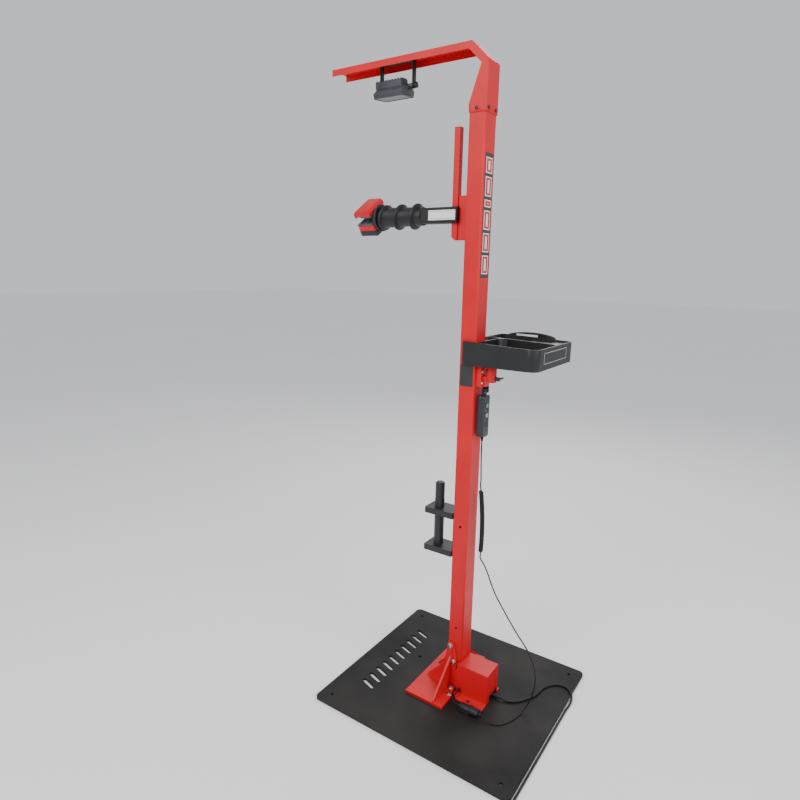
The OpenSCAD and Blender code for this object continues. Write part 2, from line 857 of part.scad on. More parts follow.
module belt_clamp() color(steel) difference() {
    span([clamp_in, clamp_out], [slider_back, clamp_back], [bar_z + clamp_rise, bar_z + clamp_rise + clamp_h]);
    span([pulley_r, pulley_r + belt_t + 2 * gap], [belt_y - belt_w / 2 - gap, belt_y + belt_w / 2 + gap],
        [bar_z + clamp_rise - cut, bar_z + clamp_rise + clamp_h + cut]);
}

module carriage_bar() color(red) {
    side_profile([[bar_front, bar_z + bar_chamfer], [bar_front + bar_chamfer, bar_z], [bar_rear, bar_z],
        [bar_rear, bar_top], [bar_front, bar_top]], -bar_s / 2, bar_s);
    span([-link_t / 2, link_t / 2], [bar_rear, -slider_front], [bar_z, slider_top]);
}

module along_arm() translate([0, 0, arm_z]) children();

module arm_tube() color(dark) difference() {
    along_arm() translate([0, -arm_back, 0]) rotate([90, 0, 0]) linear_extrude(arm_reach - arm_back)
        rounded(arm_s, arm_s, arm_r);
    along_arm() translate([0, -arm_reach - cut, 0]) rod_y(spindle_r + fit, spindle_in + cut);
    span([-bar_s / 2 - fit, bar_s / 2 + fit], [bar_front - fit, bar_rear + fit],
        [arm_z - arm_s, arm_z + arm_s]);
    at_link_gap();
    at_arm_bolts() rotate([0, 90, 0]) cylinder(d = arm_bolt_d, h = arm_s / 2 - bar_s / 2 + cut);
}

// Room for the link plate behind the bar
module at_link_gap() span([-link_t / 2 - gap, link_t / 2 + gap], [bar_rear, -arm_back + cut],
    [arm_z - arm_s, arm_z + arm_s]);

module at_arm_bolts() for (s = [-1, 1]) translate([-arm_s / 2, -bar_y, arm_z + s * arm_bolt_dz]) children();

module arm_bolts() color(steel) at_arm_bolts() rotate([0, -90, 0]) bolt(arm_bolt_d, arm_s / 2 - bar_s / 2);

module arm_label() color([0.93, 0.93, 0.92]) translate([arm_s / 2, -label_y - label_l / 2, arm_z - label_h / 2])
    cube([label_t, label_l, label_h]);

module in_head() translate([0, 0, arm_z]) rotate([0, head_turn, 0]) children();

module head_core() color(dark) in_head() difference() {
    union() {
        translate([0, -(arm_reach - spindle_in) - grip_l - spindle_in - 2 * gap, 0]) rod_y(spindle_r, grip_l + spindle_in);
        translate([0, jaw_face, 0]) rod_y(disc_r, disc_t);
        span([-carrier_half, carrier_half], [jaw_face - carrier_l, jaw_face], [-disc_r, carrier_t - disc_r]);
    }
    span([-tongue_w / 2 - fit, tongue_w / 2 + fit], [jaw_face - cut, jaw_face + tongue_t], [slot_low, disc_r + cut]);
    span([-tee_w / 2 - fit, tee_w / 2 + fit], [jaw_face + tongue_t - tee_t + fit, jaw_face + tongue_t + fit],
        [slot_low, disc_r + cut]);
}

// The grip widens from the arm to the disc and has leaning ribs
module grip_sleeve() color(dark) along_arm() translate([0, -arm_reach - gap, 0]) rotate([90, 0, 0]) difference() {
    union() {
        cylinder(r1 = grip_r, r2 = grip_end_r, h = grip_l, $fn = 72);
        for (share = rib_shares) translate([0, 0, share * grip_l]) rotate([-rib_lean, 0, 0]) rotate_extrude($fn = 72)
            polygon([[0, -rib_foot / 2], [grip_r, -rib_foot / 2], [rib_r, -rib_tip / 2], [rib_r, rib_tip / 2],
                [grip_r, rib_foot / 2], [0, rib_foot / 2]]);
    }
    translate([0, 0, -cut]) cylinder(r = spindle_r + fit, h = grip_l + 2 * cut);
}

module jaw_groove(z) translate([-jaw_l / 2 - cut, groove_y, z]) rod_x(groove_r, jaw_l + 2 * cut);

module fixed_jaw() color(red) in_head()
    span([-jaw_l / 2, jaw_l / 2], [jaw_face - jaw_d, jaw_face], [carrier_t - disc_r, gap_mid - gap_half - pad_t]);

module fixed_pad() color(grey) in_head() difference() {
    span([-jaw_l / 2, jaw_l / 2], [jaw_face - jaw_d, jaw_face - pad_back],
        [gap_mid - gap_half - pad_t, gap_mid - gap_half]);
    jaw_groove(gap_mid);
}

// The moving jaw's back is chamfered, and its T-shaped tongue slides in the disc
module moving_jaw() color(red) in_head() {
    side_profile([[jaw_face - gap - jaw_d, jaw_low], [jaw_face - gap, jaw_low], [jaw_face - gap, jaw_top - jaw_chamfer],
        [jaw_face - gap - jaw_chamfer, jaw_top], [jaw_face - gap - jaw_d + jaw_chamfer, jaw_top],
        [jaw_face - gap - jaw_d, jaw_top - jaw_chamfer]], -jaw_l / 2, jaw_l);
    span([-tongue_w / 2, tongue_w / 2], [jaw_face - gap, jaw_face + gap], [jaw_low, jaw_top - jaw_chamfer]);
    span([-tongue_w / 2, tongue_w / 2], [jaw_face + gap, jaw_face + tongue_t - tee_t + 2 * gap],
        [tongue_low, jaw_top - jaw_chamfer]);
    span([-tee_w / 2, tee_w / 2], [jaw_face + tongue_t - tee_t + 2 * gap, jaw_face + tongue_t - gap],
        [tongue_low, jaw_top - jaw_chamfer]);
}

module moving_pad() color(grey) in_head() difference() {
    span([-jaw_l / 2, jaw_l / 2], [jaw_face - jaw_d, jaw_face - pad_back], [gap_mid + gap_half, jaw_low]);
    jaw_groove(gap_mid);
}

strap_half = lamp_l / 2 + lamp_gap + gap;

module lamp_bracket() color(dark) difference() {
    union() {
        span([pivot_x - strap_w / 2, pivot_x + strap_w / 2], [-lamp_y - strap_half - lamp_strap_t, -lamp_y + strap_half + lamp_strap_t],
            [hood_top - hood_t - lamp_strap_t, hood_top - hood_t]);
        for (s = [-1, 1]) translate([pivot_x, -lamp_y + s * (strap_half + lamp_strap_t / 2), 0]) {
            span([-strap_w / 2, strap_w / 2], [-lamp_strap_t / 2, lamp_strap_t / 2], [pivot_z, hood_top - hood_t - lamp_strap_t]);
            translate([0, -lamp_strap_t / 2, pivot_z]) rod_y(strap_w / 2, lamp_strap_t);
        }
    }
    translate([pivot_x, -lamp_y - strap_half - 2 * lamp_strap_t, pivot_z]) rod_y(pin_r + fit, 2 * strap_half + 4 * lamp_strap_t);
    at_lamp_screw() translate([0, 0, -hood_t - lamp_strap_t - cut]) cylinder(d = screw_d, h = lamp_strap_t + 2 * cut);
}

// The lamp is drawn level about its pivots and then tilted
module in_lamp() translate([pivot_x, -lamp_y, pivot_z]) rotate([0, lamp_tilt, 0]) translate([-pivot_x, 0, lamp_rise]) children();

module lamp_block(w, l, x, y, low, high) translate([x - w / 2, y - l / 2, low]) cube([w, l, high - low]);

module lamp_housing() color(dark) in_lamp() difference() {
    union() {
        lamp_block(lamp_case_w, lamp_case_l, lamp_case_x, (lamp_case_l - lamp_l) / 2, -lamp_case_h, 0);
        hull() {
            lamp_block(lamp_case_w + lamp_shoulder, lamp_case_l + lamp_shoulder, lamp_case_x, 0, -lamp_case_h,
                cut - lamp_case_h);
            lamp_block(lamp_w, lamp_l, lamp_x, 0, -lamp_case_h - lamp_flare_h, cut - lamp_case_h - lamp_flare_h);
            lamp_block(lamp_w - lamp_lip, lamp_l - lamp_lip, lamp_x, 0, -lamp_h, cut - lamp_h);
        }
        for (s = [-1, 1]) translate([pivot_x, s > 0 ? 0 : -lamp_l / 2 - lamp_gap, -lamp_rise]) rod_y(lug_r, lamp_l / 2 + lamp_gap);
    }
    lamp_block(lamp_w - 2 * lamp_wall, lamp_l - 2 * lamp_wall, lamp_x, 0, -lamp_h - cut, -lamp_h + light_board_up);
    translate([pivot_x, -lamp_l / 2 - lamp_gap - cut, -lamp_rise]) rod_y(pin_r, lug_depth + cut);
    translate([pivot_x, lamp_l / 2 + lamp_gap - lug_depth, -lamp_rise]) rod_y(pin_r, lug_depth + cut);
}

lug_depth = 12;

module lamp_lens() color([0.9, 0.92, 0.95]) in_lamp()
    lamp_block(lamp_w - 2 * lamp_wall, lamp_l - 2 * lamp_wall, lamp_x, 0, lens_up - lamp_h, lens_up + lens_t - lamp_h);

module lamp_board() color([0.95, 0.95, 0.9]) in_lamp() {
    lamp_block(lamp_w - 2 * lamp_wall, lamp_l - 2 * lamp_wall, lamp_x, 0,
        light_board_up - light_board_t - lamp_h, light_board_up - lamp_h);
    for (i = [0 : light_rows - 1], j = [0 : light_cols - 1])
        translate([lamp_x + (i - (light_rows - 1) / 2) * light_pitch, (j - (light_cols - 1) / 2) * light_pitch,
            light_board_up - light_board_t - light_h - lamp_h]) cylinder(d = light_d, h = light_h, $fn = 8);
}

module lamp_knobs() color(dark) in_lamp() for (s = [0, 1]) mirror([0, s, 0]) {
    translate([pivot_x, strap_half + lamp_strap_t + gap, -lamp_rise]) rod_y(knob_r, knob_l, 24);
    translate([pivot_x, lamp_l / 2 + lamp_gap - lug_depth, -lamp_rise])
        rod_y(pin_r, lug_depth + gap + lamp_strap_t + gap + knob_l / 2);
}

module at_bracket_bolts() for (s = [-1, 1], h = bracket_bolt_down)
    translate([s * bracket_bolt_x, back_y + block_d, tray_z - h]) rotate([-90, 0, 0]) children();

module tray_bracket() color(red) difference() {
    union() {
        span([-block_w / 2, block_w / 2], [back_y, back_y + block_d], [tray_z - block_low, tray_z - block_high]);
        span([-ledge_w / 2, ledge_w / 2], [back_y + block_d, post_y - post_r], [tray_z - block_low, tray_z - ledge_top]);
        translate([0, post_y, tray_z - gap - sleeve_h]) cylinder(r = post_r + sleeve_wall, h = sleeve_h);
        translate([0, post_y, tray_z - gap - sleeve_h - collar_h]) cylinder(r = post_r + sleeve_wall - 2 * gap, h = collar_h);
    }
    translate([0, post_y, tray_z - block_low - cut]) cylinder(r = post_r + fit, h = block_low + 2 * cut);
    at_bracket_bolts() translate([0, 0, -block_d - cut]) cylinder(d = bracket_bolt_d, h = block_d + 2 * cut);
    translate([0, post_y, tray_z - lever_down]) rod_y(stud_r + fit, post_r + sleeve_wall + cut);
}

module tray_bracket_bolts() color(steel) at_bracket_bolts() bolt(bracket_bolt_d, block_d + col_wall);

tray_mid_x = tray_near_x - tray_l / 2;
tray_mid_y = tray_front + tray_w / 2;

module tray_outline(inset) difference() {
    translate([tray_mid_x, tray_mid_y]) rounded(tray_l - 2 * inset, tray_w - 2 * inset, far_r - inset);
    translate([tray_near_x - inset - tray_r, tray_front + tray_w - inset - tray_r]) difference() {
        square(tray_r + cut);
        circle(tray_r);
    }
}

module round_pocket(x, y, r, low, high) translate([(x[0] + x[1]) / 2, (y[0] + y[1]) / 2, low])
    linear_extrude(high - low) rounded(x[1] - x[0], y[1] - y[0], r);

function hump_arch(z) = [for (i = [0 : hump_steps]) [tray_front + far_r + (hump_end - tray_front - far_r) * i / hump_steps,
    z + hump_h * pow(abs(sin(180 * i / hump_steps)), hump_round_share)]];

module tray() color(dark) {
    far_x = tray_near_x - tray_l;
    outer_y = tray_front + tray_w;
    high = tray_z + tray_h;
    low = tray_z + tray_floor;
    over = tray_z + tray_h + hump_h + cut;
    difference() {
        translate([0, 0, tray_z]) linear_extrude(tray_h) difference() {
            tray_outline(0);
            translate([-notch_half, tray_front - cut]) square([2 * notch_half, notch_back - tray_front + cut]);
        }
        round_pocket([divider_x, tray_near_x - tray_wall], [notch_back + tray_wall, outer_y - tray_wall], inner_r, low, over);
        round_pocket([divider_x, -notch_half - tray_wall], [tray_front + tray_wall, notch_back], far_r / 2, low, over);
        span([far_x + hump_t, divider_x - divider_t], [tray_front + tray_wall, outer_y - tray_wall],
            [high - ledge_drop - tray_fall, over]);
        round_pocket([far_x + hump_t + tray_wall, divider_x - 2 * divider_t], [tray_front + 2 * tray_wall, pocket_end],
            far_r / 2, high - pocket_depth, over);
        for (i = [0 : 2]) translate([shelf_hole_x, shelf_hole_y[i], high - hole_depth])
            cylinder(d = shelf_hole_d[i], h = hole_depth + cut);
        for (y = shelf_hole_y) translate([small_hole_x, y, high - hole_depth]) cylinder(d = small_hole_d, h = hole_depth + cut);
        translate([0, tray_front, high]) rotate([-atan(tray_fall / tray_w), 0, 0])
            translate([-tray_l, -tray_h, 0]) cube([2 * tray_l, 2 * tray_w, tray_h]);
        translate([0, post_y, tray_z - cut]) cylinder(r = post_r, h = post_up + cut);
    }
    difference() {
        translate([0, post_y, low]) cylinder(r = boss_r, h = boss_h);
        translate([0, post_y, tray_z - cut]) cylinder(r = post_r, h = post_up + cut);
    }
    difference() {
        side_profile(concat([[hump_end, high - tray_fall - cut], [tray_front + far_r, high - tray_fall - cut]],
            hump_arch(high - tray_fall)), far_x, hump_t);
        span([far_x - cut, far_x + hump_t + cut], [handle_start, handle_end],
            [high - tray_fall + handle_lift, high - tray_fall + handle_lift + handle_h]);
    }
}

module tray_post() color(steel) translate([0, post_y, tray_z - post_down]) cylinder(r = post_r, h = post_down + post_up);

module tray_lock_lever() color(steel) translate([0, post_y, tray_z - lever_down]) {
    translate([0, post_r + gap, 0]) rod_y(stud_r, sleeve_wall + 2 * gap);
    translate([0, post_r + sleeve_wall + gap, 0]) rod_y(lever_r, lever_l);
    span([-lever_arm, 0], [post_r + sleeve_wall + lever_l - lever_t, post_r + sleeve_wall + lever_l], [-lever_t / 2, lever_t / 2]);
}

eye_z = handset_top + eye_h / 2;
peg_z = eye_z + eye_hole_r - peg_r - fit;

module handset_hook() color(dark) {
    low = tray_z - block_low;
    span([-hook_side, hook_t - hook_side], [handset_y - hook_w / 2, handset_y + hook_w / 2], [peg_z - peg_r, low]);
    translate([-hook_side, handset_y, peg_z]) rod_x(peg_r, 2 * hook_side);
}

handset_front_y = handset_y + handset_d / 2;
handset_low = handset_top - handset_h;

module handset_case(y, d) translate([0, y, handset_low + handset_h / 2]) rotate([-90, 0, 0])
    linear_extrude(d) rounded(handset_w, handset_h, handset_r);

module at_button(i) translate([0, handset_front_y, handset_top - button_up_drop - i * button_pitch]) children();

module handset_front() color(dark) difference() {
    handset_case(handset_y, handset_d * (1 - split_share));
    for (i = [0, 1]) at_button(i) translate([0, -button_seat, 0]) rod_y(button_d / 2 + gap, button_seat + cut);
}

module handset_back() color(dark) {
    handset_case(handset_y - handset_d * split_share, handset_d * split_share);
    difference() {
        span([-eye_w / 2, eye_w / 2], [handset_y - eye_d / 2, handset_y + eye_d / 2], [handset_top - handset_r, handset_top + eye_h]);
        span([-eye_w, eye_w], [handset_y, handset_y + eye_d], [handset_top - handset_r - cut, handset_top]);
        translate([-eye_w, handset_y, eye_z]) rod_x(eye_hole_r, 2 * eye_w);
    }
}

button_throw = 1.5;

module button(i) at_button(i) translate([0, button_throw + gap - button_seat, 0])
    rod_y(button_d / 2, button_seat - button_throw - gap + button_proud);

module button_up() color([0.1, 0.5, 0.25]) button(0);
module button_down() color(grey) button(1);

module handset_relief() color(dark) translate([0, handset_y, handset_low - relief_h]) {
    cylinder(r = relief_neck_r, h = relief_h / 2);
    translate([0, 0, relief_h / 2]) cylinder(r = relief_r, h = relief_h / 2);
}

// Tubes along a route
function unit(v) = v / norm(v);
function ring_dirs(p) = let(n = len(p)) [for (i = [0 : n - 1])
    i == 0 ? unit(p[1] - p[0]) : i == n - 1 ? unit(p[n - 1] - p[n - 2]) : unit(unit(p[i + 1] - p[i]) + unit(p[i] - p[i - 1]))];
function carried(u, t) = unit(u - (u * t) * t);
function ring_sides(t, first) = [for (i = 0, u = carried(first, t[0]); i < len(t);
    i = i + 1, u = i < len(t) ? carried(u, t[i]) : u) u];
function tube_points(p, r, n, first) = let(t = ring_dirs(p), u = ring_sides(t, first))
    [for (i = [0 : len(p) - 1]) for (k = [0 : n - 1]) let(a = 360 * k / n, v = cross(t[i], u[i]))
        p[i] + r * (cos(a) * u[i] + sin(a) * v)];
function tube_faces(m, n) = concat(
    [for (k = [1 : n - 2]) [0, k + 1, k]],
    [for (i = [0 : m - 2]) for (k = [0 : n - 1]) each [
        [i * n + k, i * n + (k + 1) % n, (i + 1) * n + k],
        [i * n + (k + 1) % n, (i + 1) * n + (k + 1) % n, (i + 1) * n + k]]],
    [for (k = [1 : n - 2]) [(m - 1) * n, (m - 1) * n + k, (m - 1) * n + k + 1]]);

module tube(p, d, n, first = [1, 0, 0]) polyhedron(tube_points(p, d / 2, n, first),
    [for (f = tube_faces(len(p), n)) [f[0], f[2], f[1]]], convexity = 10);

// Least distance between the tube's centre line and its later turns, less the diameter
function least_gap(p, d, skip) = min([for (i = [0 : len(p) - 1 - skip]) for (j = [i + skip : len(p) - 1])
    norm(p[i] - p[j])]) - d;

pendant_sides = 8;
form_sides = 6;

// How far above what it lies on a cord is drawn, and a cord's height on the plate and on the floor
lay = 0.4;
pendant_low = floor_top + pendant_d / 2 + lay;
mains_low = floor_top + mains_d / 2 + lay;
coil_low = mains_d / 2 + lay;

// The axis of the curls. The hanging stretches are measured from the hand control's middle
curl_from = [0, 6, 785];
curl_bend = [0, 22, 672];
curl_to = [0, 16, 556];
curl_count = 45;
curl_r = 6;
curl_rings = 8;
curl_end = 5;
curl_down = unit(curl_bend - curl_from);
curl_out = unit(curl_to - curl_bend);
curl_top = curl_from - curl_end * curl_down;
curl_low = curl_to + curl_end * curl_out;

function curl_axis(t) = curl_from * (1 - t) * (1 - t) + 2 * curl_bend * t * (1 - t) + curl_to * t * t;
function eased(t) = t <= 0 ? 0 : t >= 1 ? 1 : t * t * (3 - 2 * t);
function curl_point(i) = let(turn = i / curl_rings, t = turn / curl_count,
    r = curl_r * min(eased(turn), eased(curl_count - turn)), a = 360 * turn)
    curl_axis(t) + r * [cos(a), sin(a), 0];
function curl_points() = concat([curl_top], [for (i = [0 : curl_count * curl_rings]) curl_point(i)], [curl_low]);

// The pendant cord's upper stretch, from the strain relief to the curls
lead_top = handset_low - relief_h;
lead_route = [[0, 0, lead_top], [0, 0, lead_top - 12], [0, 0, lead_top - 35], [0, 1, 895], [0, 2, 870],
    [0, 3, 845], [0, 4, 822], curl_top - 15 * curl_down, curl_top];

// The pendant cord's lower stretch, from the curls over the plate to its plug
plug_tip = plug_front + plug_neck_l;
plug_z = floor_top + plug_rise;
hung_route = [curl_low, curl_low + 7 * curl_out, [0, 15.2, 537], [0, 18, 530.5], [0, 23, 524], [0, 30, 515], [0, 38, 503],
    [0, 46, 488], [0, 54, 470], [0, 63, 450], [0, 73, 430], [0, 86, 407], [0, 105, 380], [0, 127, 350],
    [0, 150, 320], [0, 173, 291], [0, 195, 267], [0, 213, 244], [0, 228, 221], [0, 239, 197], [0, 246, 170],
    [0, 249, 142], [0, 247, 112], [0, 242, 84], [2, 235, 58]];
landed_route = [[6, 277, 36], [14, 270, 22], [28, 265, 14], [46, 261, pendant_low], [66, 256, pendant_low],
    [plug_x - 44, 248, pendant_low], [plug_x - 26, 238, pendant_low], [plug_x - 10, 225, pendant_low],
    [plug_x - 1, 209, pendant_low], [plug_x + 2, plug_tip + 32, plug_z - 10], [plug_x, plug_tip + 18, plug_z - 3],
    [plug_x, plug_tip + 8, plug_z], [plug_x, plug_tip, plug_z]];
tail_route = concat([for (p = hung_route) p + [0, handset_y, 0]], landed_route);

// The short lead from the socket to the control box
socket_tip = plug_front - plug_l - socket_l - socket_tail_l;
lead_x = box_right + lead_gland_l;
socket_route = [[plug_x, socket_tip, plug_z], [plug_x, socket_tip - 8, plug_z], [plug_x - 1, socket_tip - 17, plug_z],
    [plug_x - 6, socket_tip - 26, lead_z], [plug_x - 14, socket_tip - 33, lead_z], [plug_x - 25, lead_y, lead_z],
    [lead_x + 25, lead_y, lead_z], [lead_x + 16, lead_y, lead_z], [lead_x + 8, lead_y, lead_z], [lead_x, lead_y, lead_z]];

// The mains cord, from its gland over the plate's edge and along it on the floor to its coil
mains_sides = 8;
edge_y = plate_l / 2 - plate_shift_y;
plate_run_x = [4, -1, -12, -30, -50, -70, -90, -112, -135, -157, -175, -188, -195, -193, -183];
plate_run_shares = [0.08, 0.16, 0.25, 0.33, 0.39, 0.45, 0.49, 0.51, 0.53, 0.57, 0.63, 0.7, 0.79, 0.88, 0.955];
floor_run_x = [-90, -60, -25, 15, 60, 105, 150, 195, 240, 285, 330, 370, 405];
floor_run_off = 9;
coil_x = 440;
coil_r = 57.5;
coil_y = edge_y + floor_run_off + coil_r;
coil_room = 0.7;
coil_pitch = mains_d + coil_room;
coil_layer = mains_d + coil_room;
coil_layer_turns = 3.25;
coil_rings = 24;
coil_turns = 2 * coil_layer_turns + 0.5;
coil_exit = 44;
mains_route = concat([[gland_x, gland_tip, gland_z], [gland_x, gland_tip + 8, gland_z - 0.5]],
    [for (i = [0 : len(plate_run_x) - 1]) [plate_run_x[i],
        gland_tip + plate_run_shares[i] * (edge_y - gland_tip), mains_low + (i == 0 ? 2 : 0)]],
    [[-168, edge_y + 2, mains_low + 0.4], [-152, edge_y + 8.5, floor_top + 1],
        [-135, edge_y + 11, floor_top - 3], [-115, edge_y + 11, coil_low + 0.3]],
    [for (x = floor_run_x) [x, edge_y + floor_run_off, coil_low]],
    [[coil_x - mains_d, edge_y + floor_run_off, coil_low]]);

// The mains cord's spare length lies in a coil of two layers
function coil_radius(t) = let(n = coil_layer_turns)
    t <= n + 0.25 ? coil_r - coil_pitch * t : coil_r - coil_pitch * (2 * n + 0.5 - t);
function coil_height(t) = coil_low + coil_layer * eased(2 * (t - coil_layer_turns));
function coil_point(t) = let(a = 360 * t - 90)
    [coil_x + coil_radius(t) * cos(a), coil_y + coil_radius(t) * sin(a), coil_height(t)];
function coil_points() = let(n = coil_turns * coil_rings)
    concat([[coil_x - mains_d, coil_y - coil_r, coil_low]], [for (i = [0 : n]) coil_point(i / coil_rings)],
        [for (x = [mains_d, coil_exit]) [coil_x + x, coil_y - coil_r, coil_low + coil_layer]]);

module hung() translate([0, handset_y, 0]) children();

module pendant_lead() color(dark) hung() tube(lead_route, pendant_d, pendant_sides);
module pendant_curl() color(dark) hung() tube(curl_points(), pendant_d, form_sides);
module pendant_tail() color(dark) tube(tail_route, pendant_d, pendant_sides);
module socket_lead() color(dark) tube(socket_route, pendant_d, pendant_sides, [0, 0, 1]);
module mains_cord() color(dark) tube(mains_route, mains_d, mains_sides, [0, 0, 1]);
module mains_coil() color(dark) tube(coil_points(), mains_d, form_sides, [0, 0, 1]);

module connector_at(y) translate([plug_x, y, floor_top + plug_rise]) children();

module pendant_plug() color(dark) {
    connector_at(plug_front) rod_y(plug_neck_r, plug_neck_l);
    connector_at(plug_front - plug_l + ring_l) rod_y(plug_r, plug_l - ring_l);
    connector_at(plug_front - plug_l) rod_y(ring_r, ring_l);
}

module pendant_socket() color(dark) {
    connector_at(plug_front - plug_l - socket_l) rod_y(plug_r, socket_l);
    span([plug_x - socket_foot_w / 2, plug_x + socket_foot_w / 2], [plug_front - plug_l - socket_l, plug_front - plug_l],
        [floor_top, floor_top + plug_rise - plug_neck_r]);
    connector_at(plug_front - plug_l - socket_l - socket_tail_l) rod_y(plug_neck_r, socket_tail_l);
}

module mains_plug() color(dark) translate([coil_x + coil_exit, coil_y - coil_r, coil_low + coil_layer]) {
    rod_x(mains_relief_r, mains_d);
    translate([mains_d, 0, 0]) {
        translate([0, -mains_body_w / 2, -mains_body_h / 2]) cube([mains_body_l, mains_body_w, mains_body_h]);
        for (s = [-1, 1]) translate([mains_body_l, s * prong_pitch / 2, 0]) rod_x(prong_r, prong_l, 24);
    }
}

module accessory_holder() color(dark) {
    span([-back_plate_w / 2, back_plate_w / 2], [front_y - back_plate_t, front_y], [shelf_z - shelf_pitch - shelf_t, shelf_z]);
    for (z = [shelf_z, shelf_z - shelf_pitch])
        span([-shelf_w / 2, shelf_w / 2], [-shelf_reach, front_y - back_plate_t], [z - shelf_t, z]);
    translate([0, -pin_y, shelf_z - shelf_pitch - shelf_t])
        cylinder(d = pin_d + 2 * pin_seat, h = shelf_pitch + shelf_t + pin_seat_h);
    translate([0, -pin_y, shelf_z]) cylinder(d = pin_d, h = pin_h - pin_chamfer);
    translate([0, -pin_y, shelf_z + pin_h - pin_chamfer]) cylinder(d1 = pin_d, d2 = pin_d - 2 * pin_chamfer, h = pin_chamfer);
    translate([0, -pin_y, shelf_z + stop_pin_h]) rod_x(stop_pin_r, pin_d / 2 + stop_pin_l);
}

base_plate();
foot_bracket();
foot_bolts();
cheek_bolts();
column();
hood_arm();
panel_screws();
top_bracket();
top_pulley();
drive_pulley();
lifting_belt();
gearmotor();
power_supply();
control_board();
control_box();
cord_glands();
stop_blocks();
stop_buffers();
limit_switches();
slider_block();
roller_pair_upper();
roller_pair_lower();
belt_clamp();
carriage_bar();
arm_tube();
arm_bolts();
arm_label();
head_core();
grip_sleeve();
fixed_jaw();
fixed_pad();
moving_jaw();
moving_pad();
lamp_bracket();
lamp_housing();
lamp_lens();
lamp_board();
lamp_knobs();
tray_bracket();
tray_bracket_bolts();
tray();
tray_post();
tray_lock_lever();
handset_hook();
handset_front();
handset_back();
button_up();
button_down();
handset_relief();
pendant_lead();
pendant_curl();
pendant_tail();
pendant_plug();
pendant_socket();
socket_lead();
mains_cord();
mains_coil();
mains_plug();
accessory_holder();

echo(curl_least_gap = least_gap(curl_points(), pendant_d, curl_rings - 2));
echo(coil_least_gap = least_gap(coil_points(), mains_d, coil_rings / 2));
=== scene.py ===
# %% [markdown]
# # An electric bicycle lift, dressed in Blender
# The rigid parts of the lift come from a CAD model and keep their sizes and places. This notebook
# gives them rounded edges, paint, plastic grain and rubber, and models the pieces whose looks
# the CAD solids only hint at, such as cords, screws, welds and moulded housings.

# %% [markdown]
# ## The frame
# The frame holds every CAD part at its real size and place, in metres. The CAD works in
# millimetres, so places below are written in millimetres and multiplied by `MM`.

import json
import math

import bmesh
import bpy
from mathutils import Matrix, Vector

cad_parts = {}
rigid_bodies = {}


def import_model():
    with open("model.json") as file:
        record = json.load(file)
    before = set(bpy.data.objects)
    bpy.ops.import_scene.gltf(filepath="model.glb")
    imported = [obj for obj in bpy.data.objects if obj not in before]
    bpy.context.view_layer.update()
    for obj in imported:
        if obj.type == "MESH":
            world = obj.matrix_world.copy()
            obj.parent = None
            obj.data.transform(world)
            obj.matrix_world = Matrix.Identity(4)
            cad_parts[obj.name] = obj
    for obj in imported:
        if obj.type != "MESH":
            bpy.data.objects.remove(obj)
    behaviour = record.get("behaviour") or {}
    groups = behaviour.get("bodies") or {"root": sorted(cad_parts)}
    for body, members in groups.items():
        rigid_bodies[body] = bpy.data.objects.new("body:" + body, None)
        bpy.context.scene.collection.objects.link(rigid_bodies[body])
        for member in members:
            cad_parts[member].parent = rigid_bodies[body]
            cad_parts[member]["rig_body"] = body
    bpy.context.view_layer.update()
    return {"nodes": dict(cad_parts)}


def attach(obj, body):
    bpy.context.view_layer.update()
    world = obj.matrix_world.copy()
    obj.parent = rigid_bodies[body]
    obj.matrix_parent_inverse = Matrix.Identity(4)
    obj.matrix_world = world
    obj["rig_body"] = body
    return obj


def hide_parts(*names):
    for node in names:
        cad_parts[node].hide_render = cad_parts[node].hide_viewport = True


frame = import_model()
MM = 0.001
print("parts in the frame:", len(frame["nodes"]))

# %% [markdown]
# ## Camera
# The picture was taken at about head height, a good two metres from the lift and slightly from
# behind. The camera is written as its place and its three directions, so that nothing turns it
# again. The small shift puts the picture's middle where the lens really pointed.

# %% The camera
EYE = Vector((1.7505, 0.9056, 1.5252))
RIGHT = Vector((-0.56159, 0.82722, 0.01814))
UP = Vector((-0.17293, -0.13879, 0.97511))
FOCAL_PX = 593.09
PICTURE_PX = 800
SENSOR_MM = 36.0
SHIFT_X, SHIFT_Y = -0.00444, 0.00356
NEAREST = 0.05

camera_data = bpy.data.cameras.new("camera")
camera_data.sensor_width = SENSOR_MM
camera_data.lens = FOCAL_PX / PICTURE_PX * SENSOR_MM
camera_data.shift_x = SHIFT_X
camera_data.shift_y = SHIFT_Y
camera_data.clip_start = NEAREST
camera = bpy.data.objects.new("camera", camera_data)
bpy.context.scene.collection.objects.link(camera)
turn = Matrix((RIGHT, UP, RIGHT.cross(UP))).transposed().to_4x4()
camera.matrix_world = Matrix.Translation(EYE) @ turn
bpy.context.scene.camera = camera
print("lens", round(camera_data.lens, 2), "mm")

# %% [markdown]
# ## Finishes
# Every finish is one Principled shader with three layers of detail: a slow cloud that varies the
# colour, a second cloud that varies the gloss, and a fine grain that bends the light as real
# powder coat, moulded plastic or rubber does. The patterns read Object coordinates, so they have
# a real size in metres and stay where they are when a piece moves.

# %% A builder for finishes
DARK_AT, LIGHT_AT = 0.35, 0.68
CLOUD_DETAIL, GLOSS_DETAIL, GRAIN_DETAIL = 4, 3, 2
GLOSS_SCALE = 3
SMOOTHEST, ROUGHEST = 0.02, 1.0
GRAIN_DEPTH = 0.0004


